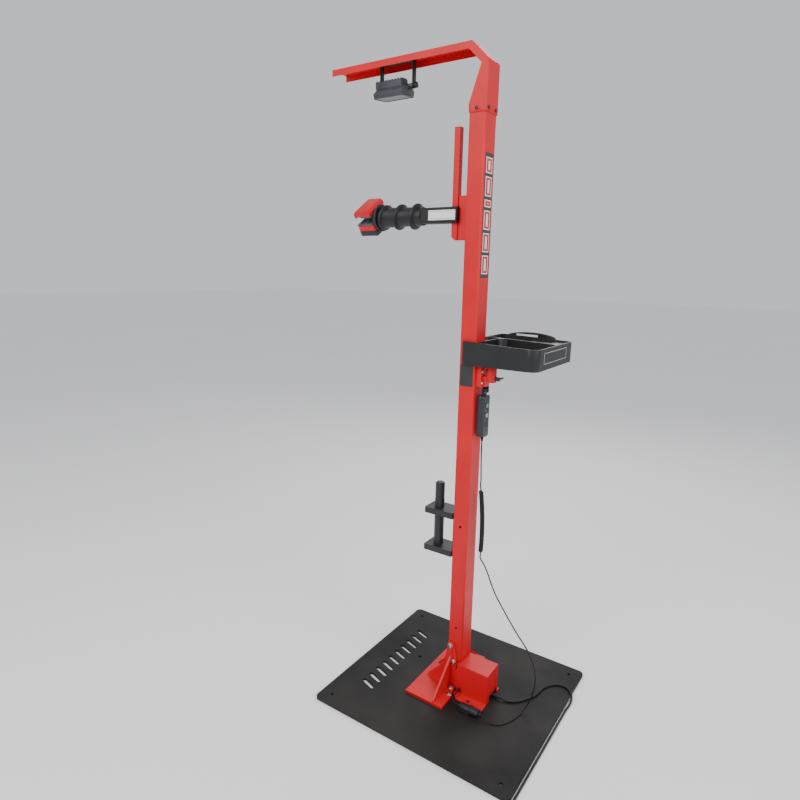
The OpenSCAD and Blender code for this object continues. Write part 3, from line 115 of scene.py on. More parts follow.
def finish(name, colour, roughness, metallic=0.0, mottle=0.08, cloud=9.0, grain=900.0,
           bump=0.1, gloss_swing=0.06, second=None, stretch=(1, 1, 1), specular=0.4):
    material = bpy.data.materials.new(name)
    material.use_nodes = True
    nodes, links = material.node_tree.nodes, material.node_tree.links
    shader = nodes["Principled BSDF"]
    shader.inputs["Metallic"].default_value = metallic
    shader.inputs["Specular IOR Level"].default_value = specular
    coordinates = nodes.new("ShaderNodeTexCoord")
    mapping = nodes.new("ShaderNodeMapping")
    mapping.inputs["Scale"].default_value = stretch
    links.new(coordinates.outputs["Object"], mapping.inputs["Vector"])

    def noise(scale, detail):
        node = nodes.new("ShaderNodeTexNoise")
        node.inputs["Scale"].default_value = scale
        node.inputs["Detail"].default_value = detail
        links.new(mapping.outputs["Vector"], node.inputs["Vector"])
        return node.outputs["Fac"]

    ramp = nodes.new("ShaderNodeValToRGB")
    dark = [c * (1 - mottle) for c in colour]
    light = second or [min(1, c * (1 + mottle)) for c in colour]
    for stop, place, shade in zip(ramp.color_ramp.elements, (DARK_AT, LIGHT_AT), (dark, light)):
        stop.position = place
        stop.color = (*shade, 1)
    links.new(noise(cloud, CLOUD_DETAIL), ramp.inputs["Fac"])
    links.new(ramp.outputs["Color"], shader.inputs["Base Color"])

    gloss = nodes.new("ShaderNodeMapRange")
    gloss.inputs["To Min"].default_value = max(SMOOTHEST, roughness - gloss_swing)
    gloss.inputs["To Max"].default_value = min(ROUGHEST, roughness + gloss_swing)
    links.new(noise(cloud * GLOSS_SCALE, GLOSS_DETAIL), gloss.inputs["Value"])
    links.new(gloss.outputs["Result"], shader.inputs["Roughness"])

    relief = nodes.new("ShaderNodeBump")
    relief.inputs["Strength"].default_value = bump
    relief.inputs["Distance"].default_value = GRAIN_DEPTH
    links.new(noise(grain, GRAIN_DETAIL), relief.inputs["Height"])
    links.new(relief.outputs["Normal"], shader.inputs["Normal"])
    return material


# %% [markdown]
# The lift needs a red and a black paint, three metals, some plastics and rubbers, and a few small
# extras. Base colours are darker than they look in a photograph, because the lamps and the pale
# room brighten them. `second` gives the light patches a colour of their own, such as dust.

# %% The paints and metals
red_paint = finish("red powder coat", (0.6, 0.006, 0.012), 0.42, mottle=0.06, grain=1100,
                   bump=0.1, specular=0.3)
black_paint = finish("black textured coat", (0.012, 0.012, 0.013), 0.55, mottle=0.2, cloud=6,
                     grain=1500, bump=0.45, second=(0.022, 0.021, 0.022), specular=0.3)
plate_paint = finish("plate coat with dust", (0.012, 0.0115, 0.011), 0.6, mottle=0.2, cloud=4,
                     grain=900, bump=0.3, second=(0.025, 0.023, 0.021), gloss_swing=0.08,
                     specular=0.25)
zinc = finish("zinc plate", (0.56, 0.56, 0.55), 0.32, metallic=1.0, mottle=0.12, cloud=60,
              grain=1600, bump=0.1)
grey_metal = finish("machined metal", (0.45, 0.46, 0.48), 0.38, metallic=1.0, grain=2600,
                    bump=0.12, stretch=(1, 1, 8))
black_metal = finish("black anodised metal", (0.028, 0.028, 0.032), 0.42, metallic=0.3,
                     grain=1400, bump=0.15)
print("finishes:", len(bpy.data.materials))

# %% The plastics and rubbers
black_plastic = finish("black moulded plastic", (0.011, 0.011, 0.0125), 0.46, mottle=0.15,
                       cloud=14, grain=2400, bump=0.25)
dark_plastic = finish("dark grey plastic", (0.024, 0.027, 0.033), 0.42, mottle=0.12, cloud=20,
                      grain=2600, bump=0.22)
lamp_plastic = finish("lamp grey plastic", (0.04, 0.045, 0.055), 0.4, mottle=0.12, cloud=20,
                      grain=2600, bump=0.2)
rubber = finish("black rubber", (0.017, 0.017, 0.018), 0.72, mottle=0.2, cloud=30, grain=1800,
                bump=0.3)
grey_rubber = finish("grey jaw rubber", (0.09, 0.09, 0.095), 0.75, mottle=0.15, cloud=40,
                     grain=1500, bump=0.35)
cord_black = finish("cord sheath", (0.007, 0.007, 0.008), 0.5, mottle=0.15, cloud=25, grain=2200,
                    bump=0.12)
print("finishes:", len(bpy.data.materials))

# %% The small extras
LENS_SEE_THROUGH = 0.5
board_green = finish("solder resist", (0.03, 0.2, 0.08), 0.3, mottle=0.2, cloud=120, bump=0.1)
led_white = finish("white board", (0.8, 0.8, 0.76), 0.4, mottle=0.04, cloud=80, bump=0.05)
label_film = finish("pale label film", (0.8, 0.8, 0.78), 0.35, mottle=0.03, cloud=30, grain=1200,
                    bump=0.04)
green_button = finish("green button", (0.03, 0.3, 0.09), 0.3, mottle=0.05, cloud=80, grain=1500,
                      bump=0.05)
grey_button = finish("grey button", (0.3, 0.31, 0.33), 0.34, mottle=0.05, cloud=80, grain=1500,
                     bump=0.05)
# The lens's dark grey is painted shade: it stands in for the shade on the lamp's underside. Half of
# the light passes through the lens.
lens_painted_shade = finish("lens with painted shade", (0.16, 0.17, 0.18), 0.25, mottle=0.05, cloud=30, grain=700,
                    bump=0.2)
lens_shader = lens_painted_shade.node_tree.nodes["Principled BSDF"]
lens_shader.inputs["Transmission Weight"].default_value = LENS_SEE_THROUGH
print("finishes:", len(bpy.data.materials))

# %% [markdown]
# ## Cords
# The hand control hangs on a curly lead, and the stand has a mains lead whose spare length lies
# in a coil. Each is one curve of fixed length. The curve passes through the CAD route's points,
# and a Catmull-Rom blend between them takes the corners out.

# %% Smooth routes
def smooth_route(points, steps=5):
    points = [Vector(p) * MM for p in points]
    route = []
    for i in range(len(points) - 1):
        a, b, c, d = (points[min(max(j, 0), len(points) - 1)] for j in range(i - 1, i + 3))
        for k in range(steps):
            t = k / steps
            route.append(0.5 * (2 * b + (c - a) * t + (2 * a - 5 * b + 4 * c - d) * t * t
                                + (3 * b - a - 3 * c + d) * t ** 3))
    return route + [points[-1]]


def route_length(route):
    return sum((b - a).length for a, b in zip(route, route[1:]))


def cord_curve(name, route, diameter, material, sides=3):
    curve = bpy.data.curves.new(name, "CURVE")
    curve.dimensions = "3D"
    curve.bevel_depth = diameter / 2
    curve.bevel_resolution = sides
    curve.use_fill_caps = True
    spline = curve.splines.new("POLY")
    spline.points.add(len(route) - 1)
    for point, place in zip(spline.points, route):
        point.co = (*place, 1)
    spline.use_smooth = True
    curve.materials.append(material)
    piece = bpy.data.objects.new(name, curve)
    bpy.context.scene.collection.objects.link(piece)
    return piece


print("cord builders ready")

# %% [markdown]
# The curly lead is a helix round a gently bent axis. Its radius grows from nothing over the first
# curl and dies away over the last, so that the straight ends join it without a step.

# %% The curls
PENDANT_D = 4.8
HUNG_Y = 50
CURL_FROM, CURL_BEND, CURL_TO = Vector((0, 6, 785)), Vector((0, 22, 672)), Vector((0, 16, 556))
CURLS, CURL_R, CURL_END, CURL_STEPS = 45, 6.0, 5.0, 24
OUT_FROM_COLUMN = Vector((0, HUNG_Y, 0))
curl_down = (CURL_BEND - CURL_FROM).normalized()
curl_out = (CURL_TO - CURL_BEND).normalized()
curl_top = CURL_FROM - CURL_END * curl_down
curl_low = CURL_TO + CURL_END * curl_out


def eased(t):
    t = min(max(t, 0.0), 1.0)
    return t * t * (3 - 2 * t)


def curl_point(turns):
    t = turns / CURLS
    axis = CURL_FROM * (1 - t) ** 2 + 2 * CURL_BEND * t * (1 - t) + CURL_TO * t * t
    radius = CURL_R * min(eased(turns), eased(CURLS - turns))
    return axis + radius * Vector((math.cos(math.tau * turns), math.sin(math.tau * turns), 0))


curl_turns = [i / CURL_STEPS for i in range(CURLS * CURL_STEPS + 1)]
curl_route = [(curl_point(turns) + OUT_FROM_COLUMN) * MM for turns in curl_turns]
print("curls", CURLS, "over", round((CURL_TO - CURL_FROM).length), "mm")

# %% [markdown]
# Above the curls the lead leaves the hand control straight down. Below them it swings out in a
# long bow, lands on the plate and turns into its plug. The points repeat the CAD route, so the
# curve lies where the CAD solids lie.

# %% The pendant cord
LAY = 0.4
PLATE_Z = 10
PLUG_X, PLUG_Z, PLUG_TIP = 130, 26, 160
LEAD_TOP = 960
lead_points = [(0, 0, LEAD_TOP), (0, 0, LEAD_TOP - 12), (0, 0, LEAD_TOP - 35), (0, 1, 895),
               (0, 2, 870), (0, 3, 845), (0, 4, 822), curl_top - 15 * curl_down, curl_top]
hung_points = [curl_low, curl_low + 7 * curl_out, (0, 15.2, 537), (0, 18, 530.5), (0, 23, 524),
               (0, 30, 515), (0, 38, 503), (0, 46, 488), (0, 54, 470), (0, 63, 450), (0, 73, 430),
               (0, 86, 407), (0, 105, 380), (0, 127, 350), (0, 150, 320), (0, 173, 291),
               (0, 195, 267), (0, 213, 244), (0, 228, 221), (0, 239, 197), (0, 246, 170),
               (0, 249, 142), (0, 247, 112), (0, 242, 84), (2, 235, 58)]
pendant_low = PLATE_Z + PENDANT_D / 2 + LAY
landed_points = [(6, 277, 36), (14, 270, 22), (28, 265, 14), (46, 261, pendant_low),
                 (66, 256, pendant_low), (PLUG_X - 44, 248, pendant_low),
                 (PLUG_X - 26, 238, pendant_low), (PLUG_X - 10, 225, pendant_low),
                 (PLUG_X - 1, 209, pendant_low), (PLUG_X + 2, PLUG_TIP + 32, PLUG_Z - 10),
                 (PLUG_X, PLUG_TIP + 18, PLUG_Z - 3), (PLUG_X, PLUG_TIP + 8, PLUG_Z),
                 (PLUG_X, PLUG_TIP, PLUG_Z)]


def hung(points):
    return [Vector(p) + OUT_FROM_COLUMN for p in points]


curl_start = (curl_top + OUT_FROM_COLUMN) * MM
pendant_route = (smooth_route(hung(lead_points))[:-1] + [curl_start] + curl_route
                 + smooth_route(hung(hung_points) + landed_points))
pendant_cord = cord_curve("pendant_cord", pendant_route, PENDANT_D * MM, cord_black)
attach(pendant_cord, "stand")
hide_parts("pendant_lead", "pendant_curl", "pendant_tail")

# %% [markdown]
# A short lead joins the socket on the plate to the control box. It has the pendant cord's
# thickness and stays a hand's breadth long.

# %% The socket lead
LEAD_Y, LEAD_Z, LEAD_X = 38, 28, 70
SOCKET_TIP = 74
socket_points = [(LEAD_X, LEAD_Y, LEAD_Z), (LEAD_X + 8, LEAD_Y, LEAD_Z),
                 (LEAD_X + 16, LEAD_Y, LEAD_Z), (LEAD_X + 25, LEAD_Y, LEAD_Z),
                 (PLUG_X - 25, LEAD_Y, LEAD_Z), (PLUG_X - 14, SOCKET_TIP - 33, LEAD_Z),
                 (PLUG_X - 6, SOCKET_TIP - 26, LEAD_Z), (PLUG_X - 1, SOCKET_TIP - 17, PLUG_Z),
                 (PLUG_X, SOCKET_TIP - 8, PLUG_Z), (PLUG_X, SOCKET_TIP, PLUG_Z)]
socket_route = smooth_route(socket_points)
socket_cord = cord_curve("socket_cord", socket_route, PENDANT_D * MM, cord_black)
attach(socket_cord, "stand")
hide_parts("socket_lead")
print("socket lead", round(route_length(socket_route), 3), "m")

# %% [markdown]
# The mains lead leaves the box through its strain relief, crosses the plate in a loose curve,
# drops over the edge and runs along it to the coil. On the plate each point is a distance to the
# side and a share of the way from the box to the plate's edge.

# %% The mains lead's run
MAINS_D = 8
GLAND_X, GLAND_TIP, GLAND_Z = 5, 173, 20
EDGE_Y, EDGE_GAP = 377, 9
COIL_X, COIL_R = 440, 57.5
FIRST_RISE = 2
plate_run_x = [4, -1, -12, -30, -50, -70, -90, -112, -135, -157, -175, -188, -195, -193, -183]
plate_run_shares = [0.08, 0.16, 0.25, 0.33, 0.39, 0.45, 0.49, 0.51, 0.53, 0.57, 0.63, 0.7, 0.79,
                    0.88, 0.955]
floor_run_x = [-90, -60, -25, 15, 60, 105, 150, 195, 240, 285, 330, 370, 405]
mains_low = PLATE_Z + MAINS_D / 2 + LAY
floor_low = MAINS_D / 2 + LAY
floor_y = EDGE_Y + EDGE_GAP
mains_points = [(GLAND_X, GLAND_TIP, GLAND_Z), (GLAND_X, GLAND_TIP + 8, GLAND_Z - 0.5)]
mains_points += [(x, GLAND_TIP + share * (EDGE_Y - GLAND_TIP), mains_low)
                 for x, share in zip(plate_run_x, plate_run_shares)]
first_x, first_y, first_z = mains_points[2]
mains_points[2] = (first_x, first_y, first_z + FIRST_RISE)
mains_points += [(-168, EDGE_Y + 2, mains_low + 0.4), (-152, EDGE_Y + 8.5, PLATE_Z + 1),
                 (-135, EDGE_Y + 11, PLATE_Z - 3), (-115, EDGE_Y + 11, floor_low + 0.3)]
mains_points += [(x, floor_y, floor_low) for x in floor_run_x]
mains_points += [(COIL_X - MAINS_D, floor_y, floor_low)]
print("mains lead's points:", len(mains_points))

# %% [markdown]
# The spare length lies in a coil. It spirals in on its lower layer, climbs one cord's thickness
# and spirals out again on the upper layer.

# %% The mains lead's coil
COIL_PITCH = COIL_LAYER = MAINS_D + 0.7
LAYER_TURNS, COIL_TURNS, COIL_EXIT = 3.25, 7, 44
COIL_STEPS = 36
COIL_Y = floor_y + COIL_R


def coil_point(turns):
    inward = min(turns, 2 * LAYER_TURNS + 0.5 - turns)
    radius = COIL_R - COIL_PITCH * inward
    angle = math.tau * turns - math.pi / 2
    place = Vector((COIL_X + radius * math.cos(angle), COIL_Y + radius * math.sin(angle),
                    floor_low + COIL_LAYER * eased(2 * (turns - LAYER_TURNS))))
    return place * MM


coil_route = [coil_point(i / COIL_STEPS) for i in range(COIL_TURNS * COIL_STEPS + 1)]
coil_top = floor_low + COIL_LAYER
coil_end = [Vector((COIL_X + x, floor_y, coil_top)) * MM for x in (MAINS_D, COIL_EXIT)]
mains_route = smooth_route(mains_points) + coil_route + coil_end
mains_cord = cord_curve("mains_lead", mains_route, MAINS_D * MM, cord_black)
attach(mains_cord, "stand")
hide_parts("mains_cord", "mains_coil")

# %% [markdown]
# ## Rounded edges
# No painted or moulded edge is perfectly sharp, and it is the thin bright line on an edge that
# makes a part look made. A CAD mesh comes as loose triangles, so each part is copied, its doubles
# are merged, flat triangles are joined, and the hard edges get a small bevel.


# %% Copies with bevelled edges
SAME_POINT = 1e-5
SAME_PLANE = math.radians(0.6)
HARD_EDGE = math.radians(38)
FLAT_FROM_MM2 = 5000
PLAIN_SMOOTH, ALL_SMOOTH = 40, 180


def add_piece(name, bm, material, body, smooth_angle=PLAIN_SMOOTH):
    mesh = bpy.data.meshes.new(name)
    bm.to_mesh(mesh)
    bm.free()
    mesh.materials.append(material)
    mesh.polygons.foreach_set("use_smooth", [True] * len(mesh.polygons))
    mesh.set_sharp_from_angle(angle=math.radians(smooth_angle))
    piece = bpy.data.objects.new(name, mesh)
    bpy.context.scene.collection.objects.link(piece)
    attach(piece, body)
    return piece


def merged(node):
    bm = bmesh.new()
    bm.from_mesh(frame["nodes"][node].data)
    bmesh.ops.remove_doubles(bm, verts=bm.verts, dist=SAME_POINT)
    bmesh.ops.dissolve_limit(bm, angle_limit=SAME_PLANE, verts=bm.verts, edges=bm.edges)
    return bm


def round_edges(piece, width, segments):
    bevel = piece.modifiers.new("edges", "BEVEL")
    bevel.width = width * MM
    bevel.segments = segments
    bevel.limit_method = "ANGLE"
    bevel.angle_limit = HARD_EDGE
    bevel.harden_normals = True


def dressed(node, material, width=0.0, segments=2, bm=None):
    piece = add_piece(node + "_dressed", bm or merged(node), material,
                      frame["nodes"][node]["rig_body"], ALL_SMOOTH if width else PLAIN_SMOOTH)
    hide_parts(node)
    for polygon in piece.data.polygons:
        polygon.use_smooth = polygon.area < FLAT_FROM_MM2 * MM * MM
    if width:
        round_edges(piece, width, segments)


print("large faces from", FLAT_FROM_MM2, "mm2 are shaded flat")

# %% [markdown]
# The table gives each CAD part its finish and the width of its rounded edges in millimetres. A
# third number asks for more segments than two. Width 0 leaves films and thin boards as they are.

# %% Dress the CAD parts
DRESS = {
    "base_plate": (plate_paint, 1.2), "foot_bracket": (red_paint, 0.9),
    "foot_bolts": (zinc, 0.6), "cheek_bolts": (zinc, 0.6), "column": (red_paint, 0.5),
    "hood_arm": (red_paint, 0.5), "panel_screws": (black_metal, 0.4), "top_bracket": (zinc, 0.4),
    "top_pulley": (grey_metal, 0.3), "drive_pulley": (grey_metal, 0.3),
    "lifting_belt": (rubber, 0), "gearmotor": (grey_metal, 1.0), "power_supply": (zinc, 0.6),
    "control_board": (board_green, 0), "control_box": (red_paint, 0.6),
    "cord_glands": (black_plastic, 0.5), "stop_blocks": (zinc, 0.5),
    "stop_buffers": (rubber, 0.8), "limit_switches": (black_plastic, 0.4),
    "slider_block": (grey_metal, 0.6), "roller_pair_upper": (black_plastic, 0.4),
    "roller_pair_lower": (black_plastic, 0.4), "belt_clamp": (zinc, 0.4),
    "carriage_bar": (red_paint, 0.9), "arm_tube": (black_paint, 0.7), "arm_bolts": (zinc, 0.5),
    "arm_label": (label_film, 0), "head_core": (black_metal, 1.0),
    "grip_sleeve": (black_plastic, 0.6), "fixed_jaw": (red_paint, 3.5, 3),
    "fixed_pad": (grey_rubber, 0.8), "moving_jaw": (red_paint, 3.5, 3),
    "moving_pad": (grey_rubber, 0.8), "lamp_bracket": (black_paint, 0.5),
    "lamp_lens": (lens_painted_shade, 0.4), "lamp_board": (led_white, 0),
    "lamp_knobs": (black_plastic, 1.0), "tray_bracket": (red_paint, 0.8),
    "tray_bracket_bolts": (zinc, 0.5), "tray": (black_plastic, 0.9), "tray_post": (zinc, 0.5),
    "tray_lock_lever": (black_metal, 0.8), "handset_hook": (black_plastic, 0.6),
    "handset_front": (dark_plastic, 1.5), "handset_back": (dark_plastic, 1.5),
    "button_up": (green_button, 0.6), "button_down": (grey_button, 0.6),
    "handset_relief": (rubber, 0.6), "pendant_plug": (black_plastic, 1.0),
    "pendant_socket": (black_plastic, 1.0), "mains_plug": (black_plastic, 1.5),
    "accessory_holder": (black_metal, 1.2),
}
for node, (material, *rounding) in DRESS.items():
    dressed(node, material, *rounding)
print("dressed parts:", len(DRESS))

# %% [markdown]
# The lamp's lower part is moulded with round corners. In the lamp's own tilted directions those
# corners are the upright edges of the lip and of the sloping flare above it. A narrow band between
# lip and flare is closed first, so that each corner is one unbroken pair of edges.

# %% Round the lamp's corners
LAMP_TILT = math.radians(6)
PIVOT = Vector((-12, -327, 2108)) * MM
LIP_MIDDLE_X, LIP_REACH_X = 24, 38
BAND_LOW, BAND_HIGH, BAND_CLOSE = -18.5, -16.5, 1.5
CORNER_LOW, CORNER_HIGH, CORNER_FOOT = -19, -1, -16
CORNER_IN_Y, CORNER_OUT_Y = 50, 60.8
UPRIGHT = 0.3
CORNER_R, CORNER_SEGMENTS = 8, 5
level = Matrix.Rotation(-LAMP_TILT, 3, "Y")


def in_lamp(vert):
    return level @ (vert.co - PIVOT) / MM


def on_band(vert):
    place = in_lamp(vert)
    return BAND_LOW < place.z < BAND_HIGH and abs(place.x - LIP_MIDDLE_X) > LIP_REACH_X


def at_corner(edge):
    a, b = (in_lamp(vert) for vert in edge.verts)
    upright = abs(a.z - b.z) > UPRIGHT * (a - b).length
    in_height = CORNER_LOW < max(a.z, b.z) < CORNER_HIGH and min(a.z, b.z) < CORNER_FOOT
    near, far = sorted((abs(a.y), abs(b.y)))
    return upright and in_height and near > CORNER_IN_Y and far < CORNER_OUT_Y


bm = merged("lamp_housing")
bmesh.ops.remove_doubles(bm, verts=[v for v in bm.verts if on_band(v)], dist=BAND_CLOSE * MM)
corners = [edge for edge in bm.edges if at_corner(edge)]
bmesh.ops.bevel(bm, geom=corners, offset=CORNER_R * MM, segments=CORNER_SEGMENTS, profile=0.5,
                affect="EDGES", clamp_overlap=False)
dressed("lamp_housing", lamp_plastic, 1.0, 2, bm)
print("lamp corner edges rounded:", len(corners))

# %% [markdown]
# Three cords are built above: the pendant cord, the socket lead and the mains lead.

print("cords built: 3")

# %% [markdown]
# ## Films and labels
# The column carries a dark film with a row of red bars in pale outlines. The bars are plain
# shapes, because this model has no lettering. Each film is a box a fraction of a millimetre thick,
# and each layer stands a little further out than the last, so no two surfaces coincide.

# %% Dark film and bars on the column
film_black = finish("dark film", (0.03, 0.03, 0.035), 0.35, mottle=0.05, cloud=30, grain=1500,
                    bump=0.05)
film_red = finish("red film", (0.55, 0.01, 0.02), 0.35, mottle=0.05, cloud=30, grain=1500,
                  bump=0.05)
BACK_Y = 29
SUNK = 0.1
BAND_HALF, BAND_FROM, BAND_TO, BAND_FILM = 27, 1500, 1875, 0.25
BARS = [(1512, 1570), (1580, 1638), (1648, 1706), (1716, 1738), (1748, 1806), (1816, 1862)]
BAR_LAYERS = [("outline_film", 21, 0, 0.4), ("bar_film", 17.5, 3.5, 0.55),
              ("outline_film", 6, 10, 0.7)]


def block(bm, low, high):
    made = bmesh.ops.create_cube(bm, size=1)["verts"]
    size = [(b - a) * MM for a, b in zip(low, high)]
    middle = [(a + b) / 2 * MM for a, b in zip(low, high)]
    bmesh.ops.scale(bm, vec=size, verts=made)
    bmesh.ops.translate(bm, vec=middle, verts=made)


films = {name: bmesh.new() for name in ("band_film", "outline_film", "bar_film")}
block(films["band_film"], (-BAND_HALF, BACK_Y - SUNK, BAND_FROM),
      (BAND_HALF, BACK_Y + BAND_FILM, BAND_TO))
for low_z, high_z in BARS:
    for film, half, inset, film_out in BAR_LAYERS:
        block(films[film], (-half, BACK_Y, low_z + inset),
              (half, BACK_Y + film_out, high_z - inset))
add_piece("band_film", films["band_film"], film_black, "stand")
add_piece("outline_film", films["outline_film"], label_film, "stand")
add_piece("bar_film", films["bar_film"], film_red, "stand")
print("films on the column's back:", len(films), "bars:", len(BARS))

# %% [markdown]
# Lower on the column sits a plain dark field. The tray's outer side has a thin pale frame, drawn
# with four narrow blocks, and the pale plate on the arm has two dark lines.

# %% Plain fields and frames
COLUMN_X = 36
FIELD_HALF, FIELD_FROM, FIELD_TO, FIELD_FILM = 24, 1148, 1219, 0.3
TRAY_OUT, TRAY_SUNK, TRAY_FILM = 243, 0.2, 0.3
FRAME_LEFT, FRAME_RIGHT, FRAME_LOW, FRAME_HIGH, LINE = -215, -15, 1240, 1275, 0.9
PLATE_IN_X, PLATE_OUT_X, PLATE_FROM_Y, PLATE_TO_Y = 25.6, 25.95, -165, -77
PLATE_LINES_Z, PLATE_LINE = (1684, 1707), 1

bm = bmesh.new()
block(bm, (COLUMN_X - SUNK, -FIELD_HALF, FIELD_FROM), (COLUMN_X + FIELD_FILM, FIELD_HALF, FIELD_TO))
add_piece("side_film", bm, film_black, "stand")

frame_sides = [(FRAME_LEFT, FRAME_LOW, FRAME_RIGHT, FRAME_LOW + LINE),
               (FRAME_LEFT, FRAME_HIGH - LINE, FRAME_RIGHT, FRAME_HIGH),
               (FRAME_LEFT, FRAME_LOW, FRAME_LEFT + LINE, FRAME_HIGH),
               (FRAME_RIGHT - LINE, FRAME_LOW, FRAME_RIGHT, FRAME_HIGH)]
bm = bmesh.new()
for from_x, from_z, to_x, to_z in frame_sides:
    block(bm, (from_x, TRAY_OUT - TRAY_SUNK, from_z), (to_x, TRAY_OUT + TRAY_FILM, to_z))
add_piece("tray_frame", bm, label_film, "tray_body")

bm = bmesh.new()
for z in PLATE_LINES_Z:
    block(bm, (PLATE_IN_X, PLATE_FROM_Y, z), (PLATE_OUT_X, PLATE_TO_Y, z + PLATE_LINE))
add_piece("arm_plate_lines", bm, film_black, "carriage")
print("plain fields and frames: 3")

# %% [markdown]
# ## Welds
# Small things make a welded frame look welded. A bead is a row of overlapping flattened balls, as
# the welder's hand leaves them. Beads run along the foot's cheeks and wings, and where the bar is
# joined to its link plate.

# %% Weld beads
FOOT_TOP = 20
WELD_SMOOTH = 80
FLATTEN, FLATTEN_SWING = 0.8, 0.1
CHEEK_X, CHEEK_FROM_Y, CHEEK_TO_Y = 48.5, -105, 14
WING_Y, WING_FROM_X, WING_TO_X = -16.5, 52, 160
UPRIGHT_X, UPRIGHT_FROM, UPRIGHT_TO = 49, 4, 108
SOCKET_Y, SOCKET_HALF = -40, 34
BAR_X, BAR_Y, BAR_WELDS = 5.5, -71, [(1620, 1668), (1724, 1752)]
BAR_BEAD, BAR_PITCH = 1.8, 2.2


def bead(bm, a, b, radius=3.2, pitch=3.4):
    a, b = Vector(a), Vector(b)
    count = max(2, int((b - a).length / pitch))
    for i in range(count + 1):
        place = a.lerp(b, i / count) * MM
        ball = bmesh.ops.create_icosphere(bm, subdivisions=1, radius=radius * MM,
                                          matrix=Matrix.Translation(place))
        bmesh.ops.scale(bm, vec=(1, 1, FLATTEN + FLATTEN_SWING * (i % 2)),
                        space=Matrix.Translation(-place), verts=ball["verts"])


bm = bmesh.new()
for side in (-1, 1):
    bead(bm, (side * CHEEK_X, CHEEK_FROM_Y, FOOT_TOP), (side * CHEEK_X, CHEEK_TO_Y, FOOT_TOP))
    bead(bm, (side * WING_FROM_X, WING_Y, FOOT_TOP), (side * WING_TO_X, WING_Y, FOOT_TOP))
    bead(bm, (side * UPRIGHT_X, WING_Y, FOOT_TOP + UPRIGHT_FROM),
         (side * UPRIGHT_X, WING_Y, FOOT_TOP + UPRIGHT_TO))
bead(bm, (-SOCKET_HALF, SOCKET_Y, FOOT_TOP), (SOCKET_HALF, SOCKET_Y, FOOT_TOP))
add_piece("foot_welds", bm, red_paint, "stand", WELD_SMOOTH)

bm = bmesh.new()
for side in (-1, 1):
    for from_z, to_z in BAR_WELDS:
        bead(bm, (side * BAR_X, BAR_Y, from_z), (side * BAR_X, BAR_Y, to_z), BAR_BEAD, BAR_PITCH)
add_piece("bar_welds", bm, red_paint, "carriage", WELD_SMOOTH)
print("weld runs:", 7 + 2 * len(BAR_WELDS))

# %% [markdown]
# ## Washers and ribs
# A ring is a five-cornered profile spun round an axis, with its outer rim chamfered. Washers of
# this kind sit under the foot's bolt heads.

# %% Washers
WASHER_IN, WASHER_OUT, WASHER_T = 5.2, 10.5, 1.4
RIM = 0.3
FOOT_BOLTS = [(94.05, 14), (62.05, 3)]
CHEEK_BOLTS = [(1, 97), (-14, 158)]
CHEEK_OUT = 48.05
STRAIGHT_UP = Vector((0, 0, 1))
ALONG_Y, ALONG_Z = (0, 1, 0), (0, 0, 1)


def ring(bm, place, axis, inner, outer, thick, sides=32):
    turn = STRAIGHT_UP.rotation_difference(Vector(axis)).to_matrix().to_4x4()
    spot = Matrix.Translation(Vector(place) * MM) @ turn
    profile = [(inner, 0), (outer, 0), (outer, thick * (1 - RIM)), (outer - thick * RIM, thick),
               (inner, thick)]
    verts = [bm.verts.new(spot @ (Vector((r, 0, h)) * MM)) for r, h in profile]
    edges = [bm.edges.new((a, b)) for a, b in zip(verts, verts[1:] + verts[:1])]
    bmesh.ops.spin(bm, geom=verts + edges, cent=spot.translation,
                   axis=spot.to_3x3() @ STRAIGHT_UP, angle=math.tau, steps=sides, use_merge=True)


bm = bmesh.new()
for side in (-1, 1):
    for x, y in FOOT_BOLTS:
        ring(bm, (side * x, y, FOOT_TOP), ALONG_Z, WASHER_IN, WASHER_OUT, WASHER_T)
    for y, h in CHEEK_BOLTS:
        ring(bm, (side * CHEEK_OUT, y, FOOT_TOP + h), (side, 0, 0), WASHER_IN, WASHER_OUT,
             WASHER_T)
add_piece("foot_washers", bm, zinc, "stand")
print("washers:", 2 * (len(FOOT_BOLTS) + len(CHEEK_BOLTS)))

# %% [markdown]
# Rings that shrink towards the cord make the strain reliefs look as if they bend. A crown of
# small blocks gives the coupling nut of the pendant plug its grip.

# %% Ribs on the strain reliefs
GLAND_RINGS, GLAND_FROM, GLAND_PITCH, GLAND_R, GLAND_TAPER = 5, 151, 4.2, 8.2, 0.5
RELIEF_RINGS, RELIEF_FROM, RELIEF_PITCH = 3, 962, 3
PLUG_FROM, PLUG_PITCH = 153, 2.4
NUT_RIBS, NUT_R, NUT_FROM, NUT_TO, NUT_HALF = 12, 15.6, 118.5, 125.5, 1

bm = bmesh.new()
for i in range(GLAND_RINGS):
    ring(bm, (GLAND_X, GLAND_FROM + GLAND_PITCH * i, GLAND_Z), ALONG_Y, 4,
         GLAND_R - GLAND_TAPER * i, 1.7)
for i in range(RELIEF_RINGS):
    ring(bm, (0, HUNG_Y, RELIEF_FROM + RELIEF_PITCH * i), ALONG_Z, 2.5, 4.1, 1.5)
    ring(bm, (PLUG_X, PLUG_FROM + PLUG_PITCH * i, PLUG_Z), ALONG_Y, 5, 7, 1.2)
for i in range(NUT_RIBS):
    angle = math.tau * i / NUT_RIBS
    x, z = PLUG_X + NUT_R * math.cos(angle), PLUG_Z + NUT_R * math.sin(angle)
    block(bm, (x - NUT_HALF, NUT_FROM, z - NUT_HALF), (x + NUT_HALF, NUT_TO, z + NUT_HALF))
add_piece("relief_ribs", bm, rubber, "stand")
print("rings:", GLAND_RINGS + 2 * RELIEF_RINGS, "nut ribs:", NUT_RIBS)

# %% [markdown]
# ## Lamp and hand control
# Nine thin plates on the lamp's case carry its heat away. They are made level and then tilted
# about the lamp's pivot, as the lamp is.

